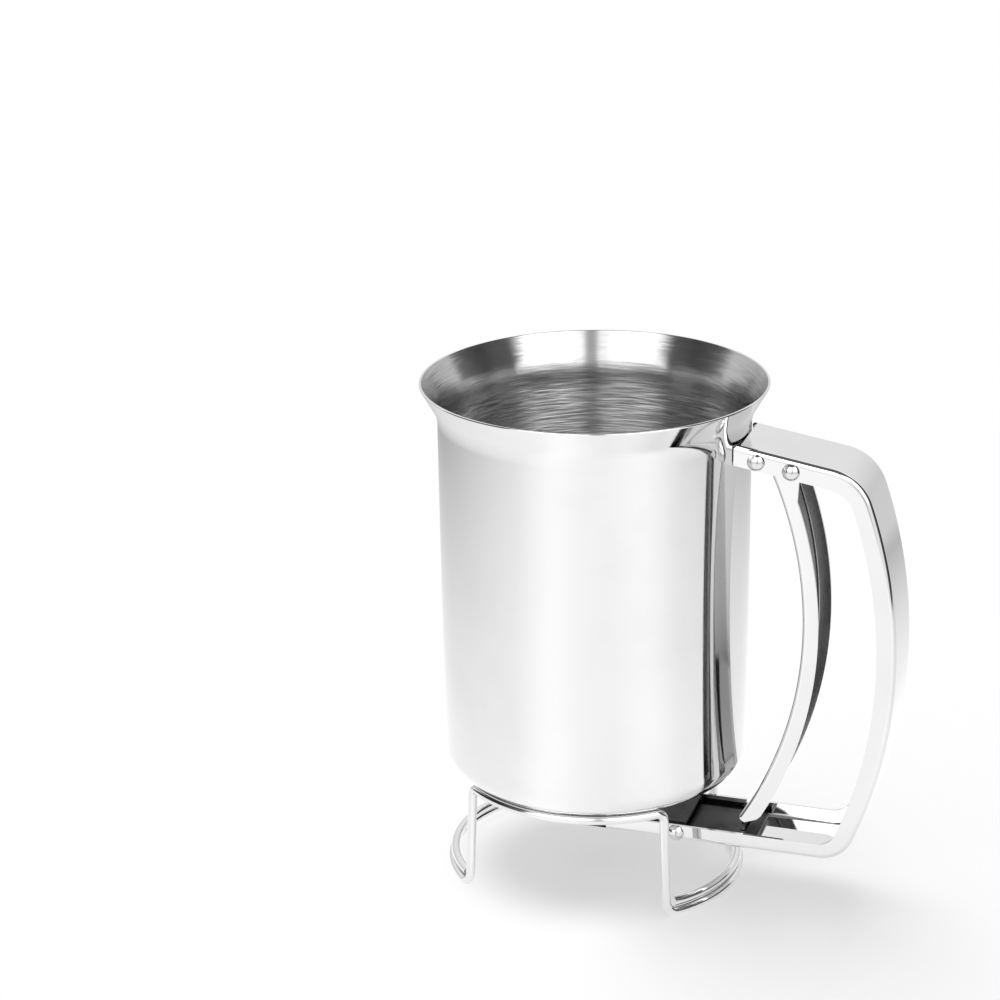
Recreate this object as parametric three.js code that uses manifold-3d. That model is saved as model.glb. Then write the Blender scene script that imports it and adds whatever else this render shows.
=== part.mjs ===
// Pancake batter dispenser
// An open steel cup with a squeeze handle that pulls a slide valve under its outlet, on a wire stand.
// Millimetres, +Z up. The handle points along +X and the cup's axis is upright.
import * as THREE from 'three';
import { mergeVertices } from 'three/addons/utils/BufferGeometryUtils.js';
import Module from 'manifold-3d';

const wasm = await Module();
wasm.setup();

// Clearances and cutting
const seatGap = 0.25;          // left between two pieces that touch
const pinGap = 0.1;            // round a pin in its hole
const cutOver = 2;             // how far a cutter runs past what it cuts

// Cup
const cupRadius = 50;
const cupHeight = 131.3;
const cupWall = 0.8;
const cupCorner = 6.8;         // rounding between wall and base
const rimFlare = 5.7;          // the rim stands out from the wall
const flareBend = 12;          // radius between the wall and the flare's straight part
const flareSlope = 30;         // degrees from upright

// Outlet under the cup
const outletSide = 2.55;       // left of the bracket beside the outlet's tube
const outletWall = 1.2;
const outletFlangeRadius = 14;
const outletFlangeThickness = 1;

// Wire stand, two bent wires whose foot arcs lie one on the other
const standWire = 3;
const standRingHeight = 36.9;  // centre of the wire that carries the cup
const standRingInset = 4.4;    // ring, feet of the legs and foot arcs, in from the cup's wall
const standLegInset = 2.6;
const standFootInset = 1.3;
const standUpperInset = 1.0;   // the upper foot arc lies this much further in
const standTopBend = 2.9;      // bend radius between the ring and a leg
const standFootBend = 4.2;     // bend radius between a leg and its foot arc
const standLegAngle = 45;      // degrees either side of the handle's line
const standTailAngle = 4.2;    // the foot arcs stop this short of the other wire's legs
const standFootFlat = 0.15;    // worn flat where the wire stands on the table

// Handle, a bent channel with its web outside
const sheet = 1;
const handleWidth = 26;
const handleBend = 1.8;        // outer radius of the channel's two long edges
const handleReach = 51.2;      // cup wall to the outside of the grip
const gripBow = 15.3;          // the grip's arc stands out this far between the heights of the arms
const gripBelow = 0.6;         // widest point of the grip, below midway between the arms
const armRootDrop = 14;        // rim down to the top of the upper arm at the cup wall
const armSlope = 9.6;          // degrees down from the cup
const upperCorner = 16;
const lowerCorner = 12;
const lowerArmDrop = 21.1;     // cup's base down to the underside of the lower arm
const upperArmDepth = 6.5;
const gripDepth = 6;
const lowerArmDepth = 5.4;
const webSetback = 1.9;        // the web stops this short of the flanges at the cup wall
const flangeCorner = 1.2;      // corner taken off the flanges there
const lowerFlangeEnd = 7.3;    // lower flanges stop this far out from the cup's axis

// Rivets and pin
const rivetHead = 2.75;
const rivetRise = 1.5;
const rivetShank = 1.5;
const rivetTail = 0.3;         // upset end standing past the bracket
const upperRivetOut = 5.6;     // upper bracket's rivet, out from the cup wall
const upperRivetInset = 3.75;  // below the top of the upper arm
const pivotOut = 16.6;         // lever pivot, out from the cup wall
const pivotInset = 4.1;
const lowerRivetOut = 31;      // lower bracket's rivet, out from the cup's axis

// Brackets inside the channel
const upperBracketReach = 8.6;
const upperBracketHeight = 4.3;
const baseBracketEnd = 33.8;

// Squeeze lever, a channel open towards the grip
const leverSide = 1;           // between the lever and the handle's flange
const leverBend = 1.6;
const leverRadius = 127.8;     // of the finger side
const leverTopAside = 6.7;     // top of the finger side, from the pivot towards the cup
const leverTopBelow = 1.9;
const leverFootOut = 1.4;      // foot of the finger side, out from the cup wall
const leverFootHeight = 10.9;  // the cup's base down to the lever's foot
const leverTopDepth = 4.8;
const leverFootDepth = 5.7;
const leverFootCut = 4;        // corner taken off the foot on the grip side
const earRadius = 2.7;
const tongueWidth = 10;
const squeezeAngle = 9;        // degrees from closed to fully squeezed

// Return spring, wound round the pivot
const springWire = 0.9;
const springRoom = 0.22;       // between the pivot pin and the coil
const springPitch = 1.45;
const springTurns = 5;
const springLeverLeg = 14;
const springArmLeg = 6.5;

// Slide valve
const slideSide = 1.05;        // between the slide and the rivets' tails
const slideThickness = 1.5;
const slideEnd = 5.2;          // past the middle of the tongue's slot
const slotGap = 0.5;           // each side of the tongue

// Fineness of round shapes, in steps
const cupSteps = 72;
const outletSteps = 48;
const pinSteps = 20;
const bendSteps = 3;
const profileSteps = 6;        // along each curve of the cup's profile
const cornerSteps = 9;
const gripSteps = 14;
const leverSteps = 22;
const wireSides = 10;
const wireBendSteps = 5;
const wireRingSteps = 16;
const wireFootSteps = 9;

const degree = Math.PI / 180;

// Heights and places that follow from the sizes above
const rimRadius = cupRadius + rimFlare;
const standRingRadius = cupRadius - standRingInset;
const standLegRadius = cupRadius - standLegInset;
const standFootRadius = cupRadius - standFootInset;
const lowerFoot = standWire / 2 - standFootFlat;
const upperFoot = lowerFoot + Math.sqrt((standWire + seatGap) ** 2 - standUpperInset ** 2);
const gripOut = cupRadius + handleReach;
const leverWidth = handleWidth - 2 * (sheet + leverSide);
const slideWidth = handleWidth - 2 * (2 * sheet + seatGap + rivetTail + slideSide);
const armRoot = cupHeight - armRootDrop;
const cornerCentre = cupRadius - cupCorner;
const seatReach = cupCorner + standWire / 2 + seatGap;
const seatAside = standRingRadius - cornerCentre;
const cupBase = standRingHeight + Math.sqrt(seatReach ** 2 - seatAside ** 2) - cupCorner;
const halfWidth = handleWidth / 2;
const innerHalfWidth = halfWidth - sheet;
const lowerArmZ = cupBase - lowerArmDrop;
const armSpan = armRoot + lowerArmDrop;
const gripRadius = (armSpan ** 2 / 4 + gripBow ** 2) / (2 * gripBow);
const gripMiddle = lowerArmZ + armSpan / 2 - gripBelow;
const channelFloor = lowerArmZ + sheet;
const slideBottom = channelFloor + seatGap;
const slideTop = slideBottom + slideThickness;
const outletOuter = innerHalfWidth - seatGap - outletSide;
const outletRadius = outletOuter - outletWall;
const armTopAt = (out) => cupBase + armRoot - out * Math.tan(armSlope * degree);
const pivot = new THREE.Vector2(cupRadius + pivotOut, armTopAt(pivotOut) - pivotInset);
const upperRivet = new THREE.Vector2(cupRadius + upperRivetOut, armTopAt(upperRivetOut) - upperRivetInset);
const lowerRivet = new THREE.Vector2(lowerRivetOut, lowerArmZ + lowerArmDepth / 2);

// A closed geometry as a solid that can be joined and cut
function solidOf(geometry) {
  const bare = geometry.clone();
  bare.deleteAttribute('normal');
  bare.deleteAttribute('uv');
  const merged = mergeVertices(bare);
  return new wasm.Manifold(new wasm.Mesh({
    numProp: 3,
    vertProperties: new Float32Array(merged.attributes.position.array),
    triVerts: new Uint32Array(merged.index.array),
  }));
}

function geometryOf(solid) {
  const mesh = solid.getMesh();
  const geometry = new THREE.BufferGeometry();
  geometry.setAttribute('position', new THREE.BufferAttribute(new Float32Array(mesh.vertProperties), 3));
  geometry.setIndex(new THREE.BufferAttribute(new Uint32Array(mesh.triVerts), 1));
  return geometry;
}

// An outline drawn in X and Z, made solid between two places along Y
function plateAcross(outline, fromY, toY) {
  const geometry = new THREE.ExtrudeGeometry(outline, { depth: toY - fromY, bevelEnabled: false });
  geometry.rotateX(Math.PI / 2);
  geometry.translate(0, toY, 0);
  return solidOf(geometry);
}

// An outline drawn in X and Y, made solid between two heights
function plateUp(outline, fromZ, toZ) {
  const geometry = new THREE.ExtrudeGeometry(outline, { depth: toZ - fromZ, bevelEnabled: false });
  geometry.translate(0, 0, fromZ);
  return solidOf(geometry);
}

function blockBetween(low, high) {
  const geometry = new THREE.BoxGeometry(high[0] - low[0], high[1] - low[1], high[2] - low[2]);
  geometry.translate((low[0] + high[0]) / 2, (low[1] + high[1]) / 2, (low[2] + high[2]) / 2);
  return solidOf(geometry);
}

// A round bar along Y through a point given in X and Z
function barAcross(radius, centre, fromY, toY) {
  const geometry = new THREE.CylinderGeometry(radius, radius, toY - fromY, pinSteps);
  geometry.translate(centre.x, (fromY + toY) / 2, centre.y);
  return solidOf(geometry);
}

function barUp(radius, fromZ, toZ) {
  const geometry = new THREE.CylinderGeometry(radius, radius, toZ - fromZ, cupSteps);
  geometry.rotateX(Math.PI / 2);
  geometry.translate(0, 0, (fromZ + toZ) / 2);
  return solidOf(geometry);
}

// Points of an arc, in order from one angle to the other
function arcPoints(centreX, centreY, radius, fromAngle, toAngle, steps) {
  const points = [];
  for (let i = 0; i <= steps; i += 1) {
    const angle = fromAngle + (toAngle - fromAngle) * i / steps;
    points.push(new THREE.Vector2(centreX + radius * Math.cos(angle), centreY + radius * Math.sin(angle)));
  }
  return points;
}

// A profile of radius and height, closed on itself and turned about the cup's axis
function turned(profile, steps) {
  const closed = [...profile, profile[0].clone()];
  const geometry = new THREE.LatheGeometry(closed, steps);
  geometry.rotateX(Math.PI / 2);
  return solidOf(geometry);
}

// The cup: rounded base corner, straight wall, and a bend into the flare's straight part
function makeCup() {
  const turn = flareSlope * degree;
  const lip = new THREE.Vector2(-cupWall * Math.cos(turn), cupWall * Math.sin(turn));
  const rim = new THREE.Vector2(rimRadius, cupBase + cupHeight - lip.y);
  const flareOut = rimFlare - flareBend * (1 - Math.cos(turn));
  const flareStart = rim.y - flareOut / Math.tan(turn) - flareBend * Math.sin(turn);
  const flareCentre = cupRadius + flareBend;
  const up = Math.PI;
  const outside = [
    new THREE.Vector2(outletRadius, cupBase),
    ...arcPoints(cornerCentre, cupBase + cupCorner, cupCorner, -Math.PI / 2, 0, profileSteps),
    ...arcPoints(flareCentre, flareStart, flareBend, up, up - turn, profileSteps),
    rim,
  ];
  const inside = [
    rim.clone().add(lip),
    ...arcPoints(flareCentre, flareStart, flareBend + cupWall, up - turn, up, profileSteps),
    ...arcPoints(cornerCentre, cupBase + cupCorner, cupCorner - cupWall, 0, -Math.PI / 2, profileSteps),
    new THREE.Vector2(outletRadius, cupBase + cupWall),
  ];
  return turned([...outside, ...inside], cupSteps);
}

// The outlet: a short tube under the hole in the cup's base, with a flange against that base
function makeOutlet() {
  const top = cupBase - seatGap;
  const flangeUnder = top - outletFlangeThickness;
  const foot = slideTop + seatGap;
  return turned([
    new THREE.Vector2(outletRadius, foot),
    new THREE.Vector2(outletOuter, foot),
    new THREE.Vector2(outletOuter, flangeUnder - outletWall),
    new THREE.Vector2(outletOuter + outletWall, flangeUnder),
    new THREE.Vector2(outletFlangeRadius, flangeUnder),
    new THREE.Vector2(outletFlangeRadius, top),
    new THREE.Vector2(outletRadius, top),
  ], outletSteps);
}

// A channel's section: across, and in from the web's outer face; both long edges are rounded
function channelSection(width, bend, depth) {
  const edge = width / 2;
  const side = edge - bend;
  const quarter = Math.PI / 2;
  const outer = [
    new THREE.Vector2(-edge, depth),
    ...arcPoints(-side, bend, bend, Math.PI, Math.PI + quarter, bendSteps),
    ...arcPoints(side, bend, bend, -quarter, 0, bendSteps),
    new THREE.Vector2(edge, depth),
  ];
  const inner = [
    new THREE.Vector2(edge - sheet, depth),
    ...arcPoints(side, bend, bend - sheet, 0, -quarter, bendSteps),
    ...arcPoints(-side, bend, bend - sheet, Math.PI + quarter, Math.PI, bendSteps),
    new THREE.Vector2(-edge + sheet, depth),
  ];
  return [...outer, ...inner];
}

// A line through given stations in the X Z plane; each has a place, a way along it and a flange depth
class StationLine extends THREE.Curve {
  constructor(stations) {
    super();
    this.stations = stations;
  }

  stationAt(share) {
    return this.stations[Math.round(share * (this.stations.length - 1))];
  }

  getPointAt(share, target = new THREE.Vector3()) {
    const { place } = this.stationAt(share);
    return target.set(place.x, 0, place.y);
  }

  getTangentAt(share, target = new THREE.Vector3()) {
    const { along } = this.stationAt(share);
    return target.set(along.x, 0, along.y);
  }
}

// A channel with its web on the stations; the open side lies to the right of the way along
function sweptChannel(stations, width, bend) {
  const deepest = Math.max(...stations.map(({ depth }) => depth));
  const section = new THREE.Shape(channelSection(width, bend, deepest + cutOver));
  const steps = stations.length - 1;
  const geometry = new THREE.ExtrudeGeometry(section, { steps, extrudePath: new StationLine(stations) });
  const edge = stations.map(({ place, along, depth }) => (
    new THREE.Vector2(place.x + along.y * depth, place.y - along.x * depth)
  ));
  const past = stations.map(({ place, along, depth }) => (
    new THREE.Vector2(place.x + along.y * (depth + 2 * cutOver), place.y - along.x * (depth + 2 * cutOver))
  ));
  const trim = new THREE.Shape([...edge, ...past.reverse()]);
  return solidOf(geometry).subtract(plateAcross(trim, -width, width));
}

// A straight channel along X, open downwards
function straightChannel(width, bend, depth, fromX, toX, top) {
  const section = new THREE.Shape(channelSection(width, bend, depth));
  const geometry = new THREE.ExtrudeGeometry(section, { depth: toX - fromX, bevelEnabled: false });
  geometry.rotateX(-Math.PI / 2);
  geometry.rotateZ(-Math.PI / 2);
  geometry.translate(fromX, 0, top);
  return solidOf(geometry);
}

// Stations on an arc, clockwise or counter-clockwise as its angles run
function arcStations(centre, radius, fromAngle, toAngle, fromDepth, toDepth, steps) {
  const way = Math.sign(toAngle - fromAngle);
  return arcPoints(centre.x, centre.y, radius, fromAngle, toAngle, steps).map((place, i) => {
    const out = place.clone().sub(centre).normalize();
    const along = new THREE.Vector2(-out.y * way, out.x * way);
    return { place, along, depth: fromDepth + (toDepth - fromDepth) * i / steps };
  });
}

const angleOf = (from, to) => Math.atan2(to.y - from.y, to.x - from.x);

// The handle's outer line: upper arm, corner, long grip arc, corner, lower arm
function handleStations() {
  const slope = armSlope * degree;
  const along = new THREE.Vector2(Math.cos(slope), -Math.sin(slope));
  const inward = new THREE.Vector2(-Math.sin(slope), -Math.cos(slope));
  const root = new THREE.Vector2(Math.sqrt(cupRadius ** 2 - halfWidth ** 2) - cutOver, 0);
  root.y = armTopAt(root.x - cupRadius);
  const gripCentre = new THREE.Vector2(gripOut - gripRadius, gripMiddle);

  // Each corner's centre lies its radius in from the arm and touches the grip's arc from inside
  const start = root.clone().addScaledVector(inward, upperCorner).sub(gripCentre);
  const reach = gripRadius - upperCorner;
  const half = start.dot(along);
  const travel = -half + Math.sqrt(half ** 2 - start.lengthSq() + reach ** 2);
  const upperCentre = start.addScaledVector(along, travel).add(gripCentre);
  const lowerCentre = new THREE.Vector2(0, lowerArmZ + lowerCorner);
  const lowerReach = gripRadius - lowerCorner;
  lowerCentre.x = gripCentre.x + Math.sqrt(lowerReach ** 2 - (lowerCentre.y - gripCentre.y) ** 2);

  const upperTurn = angleOf(gripCentre, upperCentre);
  const lowerTurn = angleOf(gripCentre, lowerCentre);
  const nose = new THREE.Vector2(-halfWidth - cutOver, lowerArmZ);
  return [
    { place: root, along, depth: upperArmDepth },
    ...arcStations(upperCentre, upperCorner, Math.PI / 2 - slope, upperTurn,
      upperArmDepth, gripDepth, cornerSteps),
    ...arcStations(gripCentre, gripRadius, upperTurn, lowerTurn, gripDepth, gripDepth, gripSteps).slice(1),
    ...arcStations(lowerCentre, lowerCorner, lowerTurn, -Math.PI / 2,
      gripDepth, lowerArmDepth, cornerSteps).slice(1),
    { place: nose, along: new THREE.Vector2(-1, 0), depth: lowerArmDepth },
  ];
}

// Plan of a strip that ends in a half circle round the outlet
function nosedPlan(half, end) {
  return new THREE.Shape([
    ...arcPoints(0, 0, half, Math.PI / 2, Math.PI * 3 / 2, cupSteps / 2),
    new THREE.Vector2(end, -half),
    new THREE.Vector2(end, half),
  ]);
}

// The handle: cut to the cup wall above, and to a round nose with the outlet hole below. Above,
// the web stands a little back from the wall and the flanges' corners are off
function makeHandle() {
  const wide = handleWidth;
  const wallTop = cupBase + cupHeight + cutOver;
  const wall = barUp(cupRadius + seatGap, lowerArmZ + lowerArmDepth + cutOver, wallTop);
  const webTop = cupBase + armRoot + handleBend;
  const flangeEnd = Math.sqrt((cupRadius + seatGap) ** 2 - halfWidth ** 2);
  const flangeTop = armTopAt(flangeEnd - cupRadius);
  const webCut = blockBetween(
    [cornerCentre, -innerHalfWidth, cupBase + armRoot - upperArmDepth / 2],
    [flangeEnd + webSetback, innerHalfWidth, webTop + cutOver],
  );
  const cornerCut = new THREE.Shape([
    new THREE.Vector2(flangeEnd - cutOver, flangeTop - flangeCorner - cutOver),
    new THREE.Vector2(flangeEnd + flangeCorner + cutOver, flangeTop + cutOver),
    new THREE.Vector2(flangeEnd - cutOver, flangeTop + cutOver),
  ]);
  const flangeCut = blockBetween(
    [-wide, -wide, channelFloor],
    [lowerFlangeEnd, wide, channelFloor + lowerArmDepth + cutOver],
  );
  const nose = plateUp(nosedPlan(halfWidth, gripOut + cutOver), lowerArmZ - cutOver, cupBase + cupHeight);
  const outletHole = barUp(outletRadius + pinGap, lowerArmZ - cutOver, channelFloor + cutOver);
  return sweptChannel(handleStations(), handleWidth, handleBend)
    .subtract(wall)
    .subtract(webCut)
    .subtract(plateAcross(cornerCut, -wide, wide))
    .subtract(flangeCut)
    .intersect(nose)
    .subtract(outletHole)
    .subtract(barAcross(rivetShank + pinGap, upperRivet, -wide, wide))
    .subtract(barAcross(rivetShank + pinGap, pivot, -wide, wide))
    .subtract(barAcross(rivetShank + pinGap, lowerRivet, -wide, wide));
}

// The bracket on the cup wall: a curved back and two cheeks, sloping with the upper arm
function makeUpperBracket() {
  const edge = innerHalfWidth - seatGap;
  const back = cupRadius + seatGap;
  const front = back + sheet;
  const end = cupRadius + upperBracketReach;
  const backTurn = Math.asin(edge / back);
  const frontTurn = Math.asin((edge - sheet) / front);
  const plan = new THREE.Shape([
    ...arcPoints(0, 0, back, -backTurn, backTurn, cornerSteps),
    new THREE.Vector2(end, edge),
    new THREE.Vector2(end, edge - sheet),
    ...arcPoints(0, 0, front, frontTurn, -frontTurn, cornerSteps),
    new THREE.Vector2(end, sheet - edge),
    new THREE.Vector2(end, -edge),
  ]);
  const middleAt = (x) => upperRivet.y - (x - upperRivet.x) * Math.tan(armSlope * degree);
  const half = upperBracketHeight / 2;
  const low = middleAt(end + cutOver) - half;
  const high = middleAt(cornerCentre) + half;
  const side = new THREE.Shape([
    new THREE.Vector2(cornerCentre, high - upperBracketHeight),
    new THREE.Vector2(end + cutOver, low),
    new THREE.Vector2(end + cutOver, low + upperBracketHeight),
    new THREE.Vector2(cornerCentre, high),
  ]);
  return plateUp(plan, low, high)
    .intersect(plateAcross(side, -handleWidth, handleWidth))
    .subtract(barAcross(rivetShank + pinGap, upperRivet, -handleWidth, handleWidth));
}

// The bracket over the slide: an upside-down channel that holds the outlet tube and the lower arm
function makeBaseBracket() {
  const width = 2 * (innerHalfWidth - seatGap);
  const top = lowerArmZ + lowerArmDepth;
  const depth = top - channelFloor - seatGap;
  const nose = plateUp(nosedPlan(width / 2, baseBracketEnd + cutOver), lowerArmZ, top + cutOver);
  const cheekCut = blockBetween(
    [-handleWidth, -handleWidth, lowerArmZ],
    [lowerFlangeEnd, handleWidth, top - sheet],
  );
  return straightChannel(width, handleBend, depth, -handleWidth, baseBracketEnd, top)
    .subtract(cheekCut)
    .intersect(nose)
    .subtract(barUp(outletOuter + seatGap, lowerArmZ, top + cutOver))
    .subtract(barAcross(rivetShank + pinGap, lowerRivet, -handleWidth, handleWidth));
}

// A domed rivet head on the outside of a flange, pointing out along Y
function rivetDome(centre, side) {
  const sphere = (rivetHead ** 2 + rivetRise ** 2) / (2 * rivetRise);
  const turn = Math.asin(rivetHead / sphere);
  const seat = halfWidth + seatGap;
  const profile = [
    new THREE.Vector2(0, seat),
    ...arcPoints(0, seat + rivetRise - sphere, sphere, Math.PI / 2 - turn, Math.PI / 2, 2 * bendSteps),
  ];
  const closed = [...profile, profile[0].clone()];
  closed[closed.length - 2].x = 0;
  const geometry = new THREE.LatheGeometry(closed, pinSteps);
  if (side < 0) {
    geometry.rotateX(Math.PI);
  }
  geometry.translate(centre.x, 0, centre.y);
  return solidOf(geometry);
}

// A pin right across the handle with a domed head on each side
function makePin(centre) {
  const seat = halfWidth + seatGap;
  return barAcross(rivetShank, centre, -seat, seat).add(rivetDome(centre, 1)).add(rivetDome(centre, -1));
}

// A short rivet in one flange, side 1 or -1 along Y, that leaves the channel free for the slide
function makeLowerRivet(side) {
  const seat = halfWidth + seatGap;
  const tail = innerHalfWidth - seatGap - sheet - rivetTail;
  const [from, to] = side > 0 ? [tail, seat] : [-seat, -tail];
  return barAcross(rivetShank, lowerRivet, from, to).add(rivetDome(lowerRivet, side));
}

// The lever's finger side: the centre of its arc, from the two named ends
function leverArc() {
  const top = new THREE.Vector2(pivot.x - leverTopAside, pivot.y - leverTopBelow);
  const foot = new THREE.Vector2(cupRadius + leverFootOut, cupBase - leverFootHeight);
  const middle = top.clone().add(foot).divideScalar(2);
  const chord = top.clone().sub(foot);
  const sag = Math.sqrt(leverRadius ** 2 - chord.lengthSq() / 4);
  const outward = new THREE.Vector2(chord.y, -chord.x).normalize();
  const centre = middle.addScaledVector(outward, -sag);
  return { top, foot, centre };
}

// Both ears carry the pivot and run down into the lever's flanges
function leverEars(centre, top) {
  const topTurn = angleOf(centre, top);
  const lowTurn = topTurn - 4 * earRadius / leverRadius;
  const depth = leverTopDepth;
  const edge = leverRadius + depth;
  const flangeLow = new THREE.Vector2(Math.cos(lowTurn), Math.sin(lowTurn));
  flangeLow.multiplyScalar(edge).add(centre);
  const outline = new THREE.Shape([
    ...arcPoints(centre.x, centre.y, leverRadius + leverBend, lowTurn, topTurn, bendSteps),
    ...arcPoints(pivot.x, pivot.y, earRadius, Math.PI * 2 / 3, -Math.PI / 6, cornerSteps),
    flangeLow,
  ]);
  const outer = leverWidth / 2;
  return plateAcross(outline, -outer, sheet - outer).add(plateAcross(outline, outer - sheet, outer));
}

// The tongue that hangs from the lever's web into the slot of the slide; its end just clears the
// channel's floor where the squeeze brings it right under the pivot
const tongueX = leverArc().foot.x + sheet / 2;
const tongueAside = pivot.x - leverArc().foot.x;
const tongueEnd = pivot.y - Math.sqrt((pivot.y - channelFloor - seatGap) ** 2 - tongueAside ** 2);

function leverTongue(centre, foot) {
  const lift = (leverFootDepth + leverFootCut) / leverRadius;
  const footTurn = angleOf(centre, foot);
  const outside = arcPoints(centre.x, centre.y, leverRadius, footTurn + lift, footTurn, bendSteps);
  const inside = arcPoints(centre.x, centre.y, leverRadius + sheet, footTurn, footTurn + lift, bendSteps);
  const outline = new THREE.Shape([
    ...outside,
    new THREE.Vector2(tongueX - sheet / 2, foot.y - sheet),
    new THREE.Vector2(tongueX - sheet / 2, tongueEnd),
    new THREE.Vector2(tongueX + sheet / 2, tongueEnd),
    new THREE.Vector2(tongueX + sheet / 2, foot.y - sheet),
    ...inside,
  ]);
  return plateAcross(outline, -tongueWidth / 2, tongueWidth / 2);
}

// The squeeze lever: a curved channel with ears at the pivot and a tongue at its foot
function makeLever() {
  const { top, foot, centre } = leverArc();
  const topTurn = angleOf(centre, top);
  const footTurn = angleOf(centre, foot);
  const stations = arcStations(centre, leverRadius, footTurn, topTurn,
    leverFootDepth, leverTopDepth, leverSteps);
  const footEdge = foot.clone().sub(centre).setLength(leverRadius + leverFootDepth).add(centre);
  const cornerCut = new THREE.Shape([
    new THREE.Vector2(footEdge.x - leverFootCut, footEdge.y - cutOver),
    new THREE.Vector2(footEdge.x + cutOver, footEdge.y + leverFootCut + cutOver),
    new THREE.Vector2(footEdge.x + cutOver, footEdge.y - cutOver),
  ]);
  return sweptChannel(stations, leverWidth, leverBend)
    .add(leverEars(centre, top))
    .subtract(plateAcross(cornerCut, -leverWidth, leverWidth))
    .add(leverTongue(centre, foot))
    .subtract(barAcross(rivetShank + pinGap, pivot, -leverWidth, leverWidth));
}

// The slide: a flat plate, round at the outlet, with a slot for the lever's tongue
function makeSlide() {
  const slotX = sheet / 2 + slotGap;
  const slotY = tongueWidth / 2 + slotGap;
  return plateUp(nosedPlan(slideWidth / 2, tongueX + slideEnd), slideBottom, slideTop)
    .subtract(blockBetween(
      [tongueX - slotX, -slotY, slideBottom - cutOver],
      [tongueX + slotX, slotY, slideTop + cutOver],
    ));
}

// The way a leg of the spring turns until its end bears: on the lever's web, or under the arm's web
function leverLegTurn(coil) {
  const { centre } = leverArc();
  const reach = Math.hypot(coil, springLeverLeg);
  const apart = pivot.distanceTo(centre);
  const bears = leverRadius + sheet + springWire / 2 + seatGap;
  const opening = Math.acos((bears ** 2 - apart ** 2 - reach ** 2) / (2 * reach * apart));
  return angleOf(centre, pivot) - opening - Math.atan2(springLeverLeg, coil);
}

function armLegTurn(coil) {
  const slope = armSlope * degree;
  const room = pivotInset * Math.cos(slope) - sheet - springWire / 2 - seatGap;
  const lift = Math.atan2(springArmLeg, coil) - Math.acos(room / Math.hypot(coil, springArmLeg));
  return Math.PI / 2 - slope + lift;
}

// The spring's line: a leg up the lever's web, the coil round the pivot, a leg out under the arm
class SpringLine extends THREE.Curve {
  constructor() {
    super();
    this.coil = rivetShank + springRoom + springWire / 2;
    this.startTurn = leverLegTurn(this.coil) + 2 * Math.PI;
    this.turn = springTurns * 2 * Math.PI + this.startTurn - armLegTurn(this.coil);
    this.turnLength = this.turn * this.coil;
    this.length = springLeverLeg + this.turnLength + springArmLeg;
    this.span = springPitch * this.turn / (2 * Math.PI);
  }

  getPoint(share, target = new THREE.Vector3()) {
    const along = share * this.length - springLeverLeg;
    const held = Math.min(Math.max(along, 0), this.turnLength);
    const angle = this.startTurn - held / this.coil;
    const past = along - held;
    return target.set(
      pivot.x + this.coil * Math.cos(angle) + past * Math.sin(angle),
      this.span * (held / this.turnLength - 1 / 2),
      pivot.y + this.coil * Math.sin(angle) - past * Math.cos(angle),
    );
  }
}

function makeSpring() {
  const line = new SpringLine();
  const steps = Math.round(8 * line.length / (2 * Math.PI * line.coil));
  const section = new THREE.Shape(arcPoints(0, 0, springWire / 2, 0, 2 * Math.PI * 4 / 5, 4));
  const geometry = new THREE.ExtrudeGeometry(section, { steps, extrudePath: line, bevelEnabled: false });
  return { solid: solidOf(geometry), line };
}

// One wire of the stand. It is laid out unrolled, as distance round the stand and height, from one
// foot end up a leg, along the ring and down the other leg; then it is wrapped round the cup's axis
class StandLine extends THREE.Curve {
  constructor(facing, footHeight, inset) {
    super();
    const legAt = standRingRadius * (90 - standLegAngle) * degree;
    const footEnd = standRingRadius * (90 + standLegAngle - standTailAngle) * degree;
    const quarter = Math.PI / 2;
    const ringEnd = legAt - standTopBend;
    const footStart = legAt + standFootBend;
    const topBend = standRingHeight - standTopBend;
    const footBend = footHeight + standFootBend;
    const half = [
      ...arcPoints(ringEnd, topBend, standTopBend, quarter, 0, wireBendSteps),
      ...arcPoints(footStart, footBend, standFootBend, Math.PI, Math.PI + quarter, wireBendSteps),
      ...straight(footStart, footEnd, footHeight, wireFootSteps).slice(1),
    ];
    const flat = [
      ...half.map(({ x, y }) => new THREE.Vector2(-x, y)).reverse(),
      ...straight(-ringEnd, ringEnd, standRingHeight, wireRingSteps).slice(1, -1),
      ...half,
    ];
    this.points = flat.map((place) => wrapped(place, facing, footHeight, inset));
  }

  getPointAt(share, target = new THREE.Vector3()) {
    return target.copy(this.points[Math.round(share * (this.points.length - 1))]);
  }

  getTangentAt(share, target = new THREE.Vector3()) {
    const at = Math.round(share * (this.points.length - 1));
    const before = this.points[Math.max(at - 1, 0)];
    const after = this.points[Math.min(at + 1, this.points.length - 1)];
    return target.copy(after).sub(before).normalize();
  }
}

function straight(fromX, toX, height, steps) {
  const points = [];
  for (let i = 0; i <= steps; i += 1) {
    points.push(new THREE.Vector2(fromX + (toX - fromX) * i / steps, height));
  }
  return points;
}

// Wraps a point of the unrolled wire round the cup's axis; the feet stand out from the legs
function wrapped(place, facing, footHeight, inset) {
  const turn = place.x / standRingRadius;
  const fall = (standRingHeight - place.y) / (standRingHeight - footHeight);
  const legs = standRingRadius + (standLegRadius - standRingRadius) * fall;
  const pastLeg = Math.max(Math.abs(turn) / degree - (90 - standLegAngle), 0) / standLegAngle;
  const bulge = (standFootRadius - standLegRadius) * Math.sin(pastLeg * Math.PI / 2);
  const radius = legs + (bulge - inset) * fall;
  const angle = facing + turn;
  return new THREE.Vector3(radius * Math.cos(angle), radius * Math.sin(angle), place.y);
}

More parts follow.
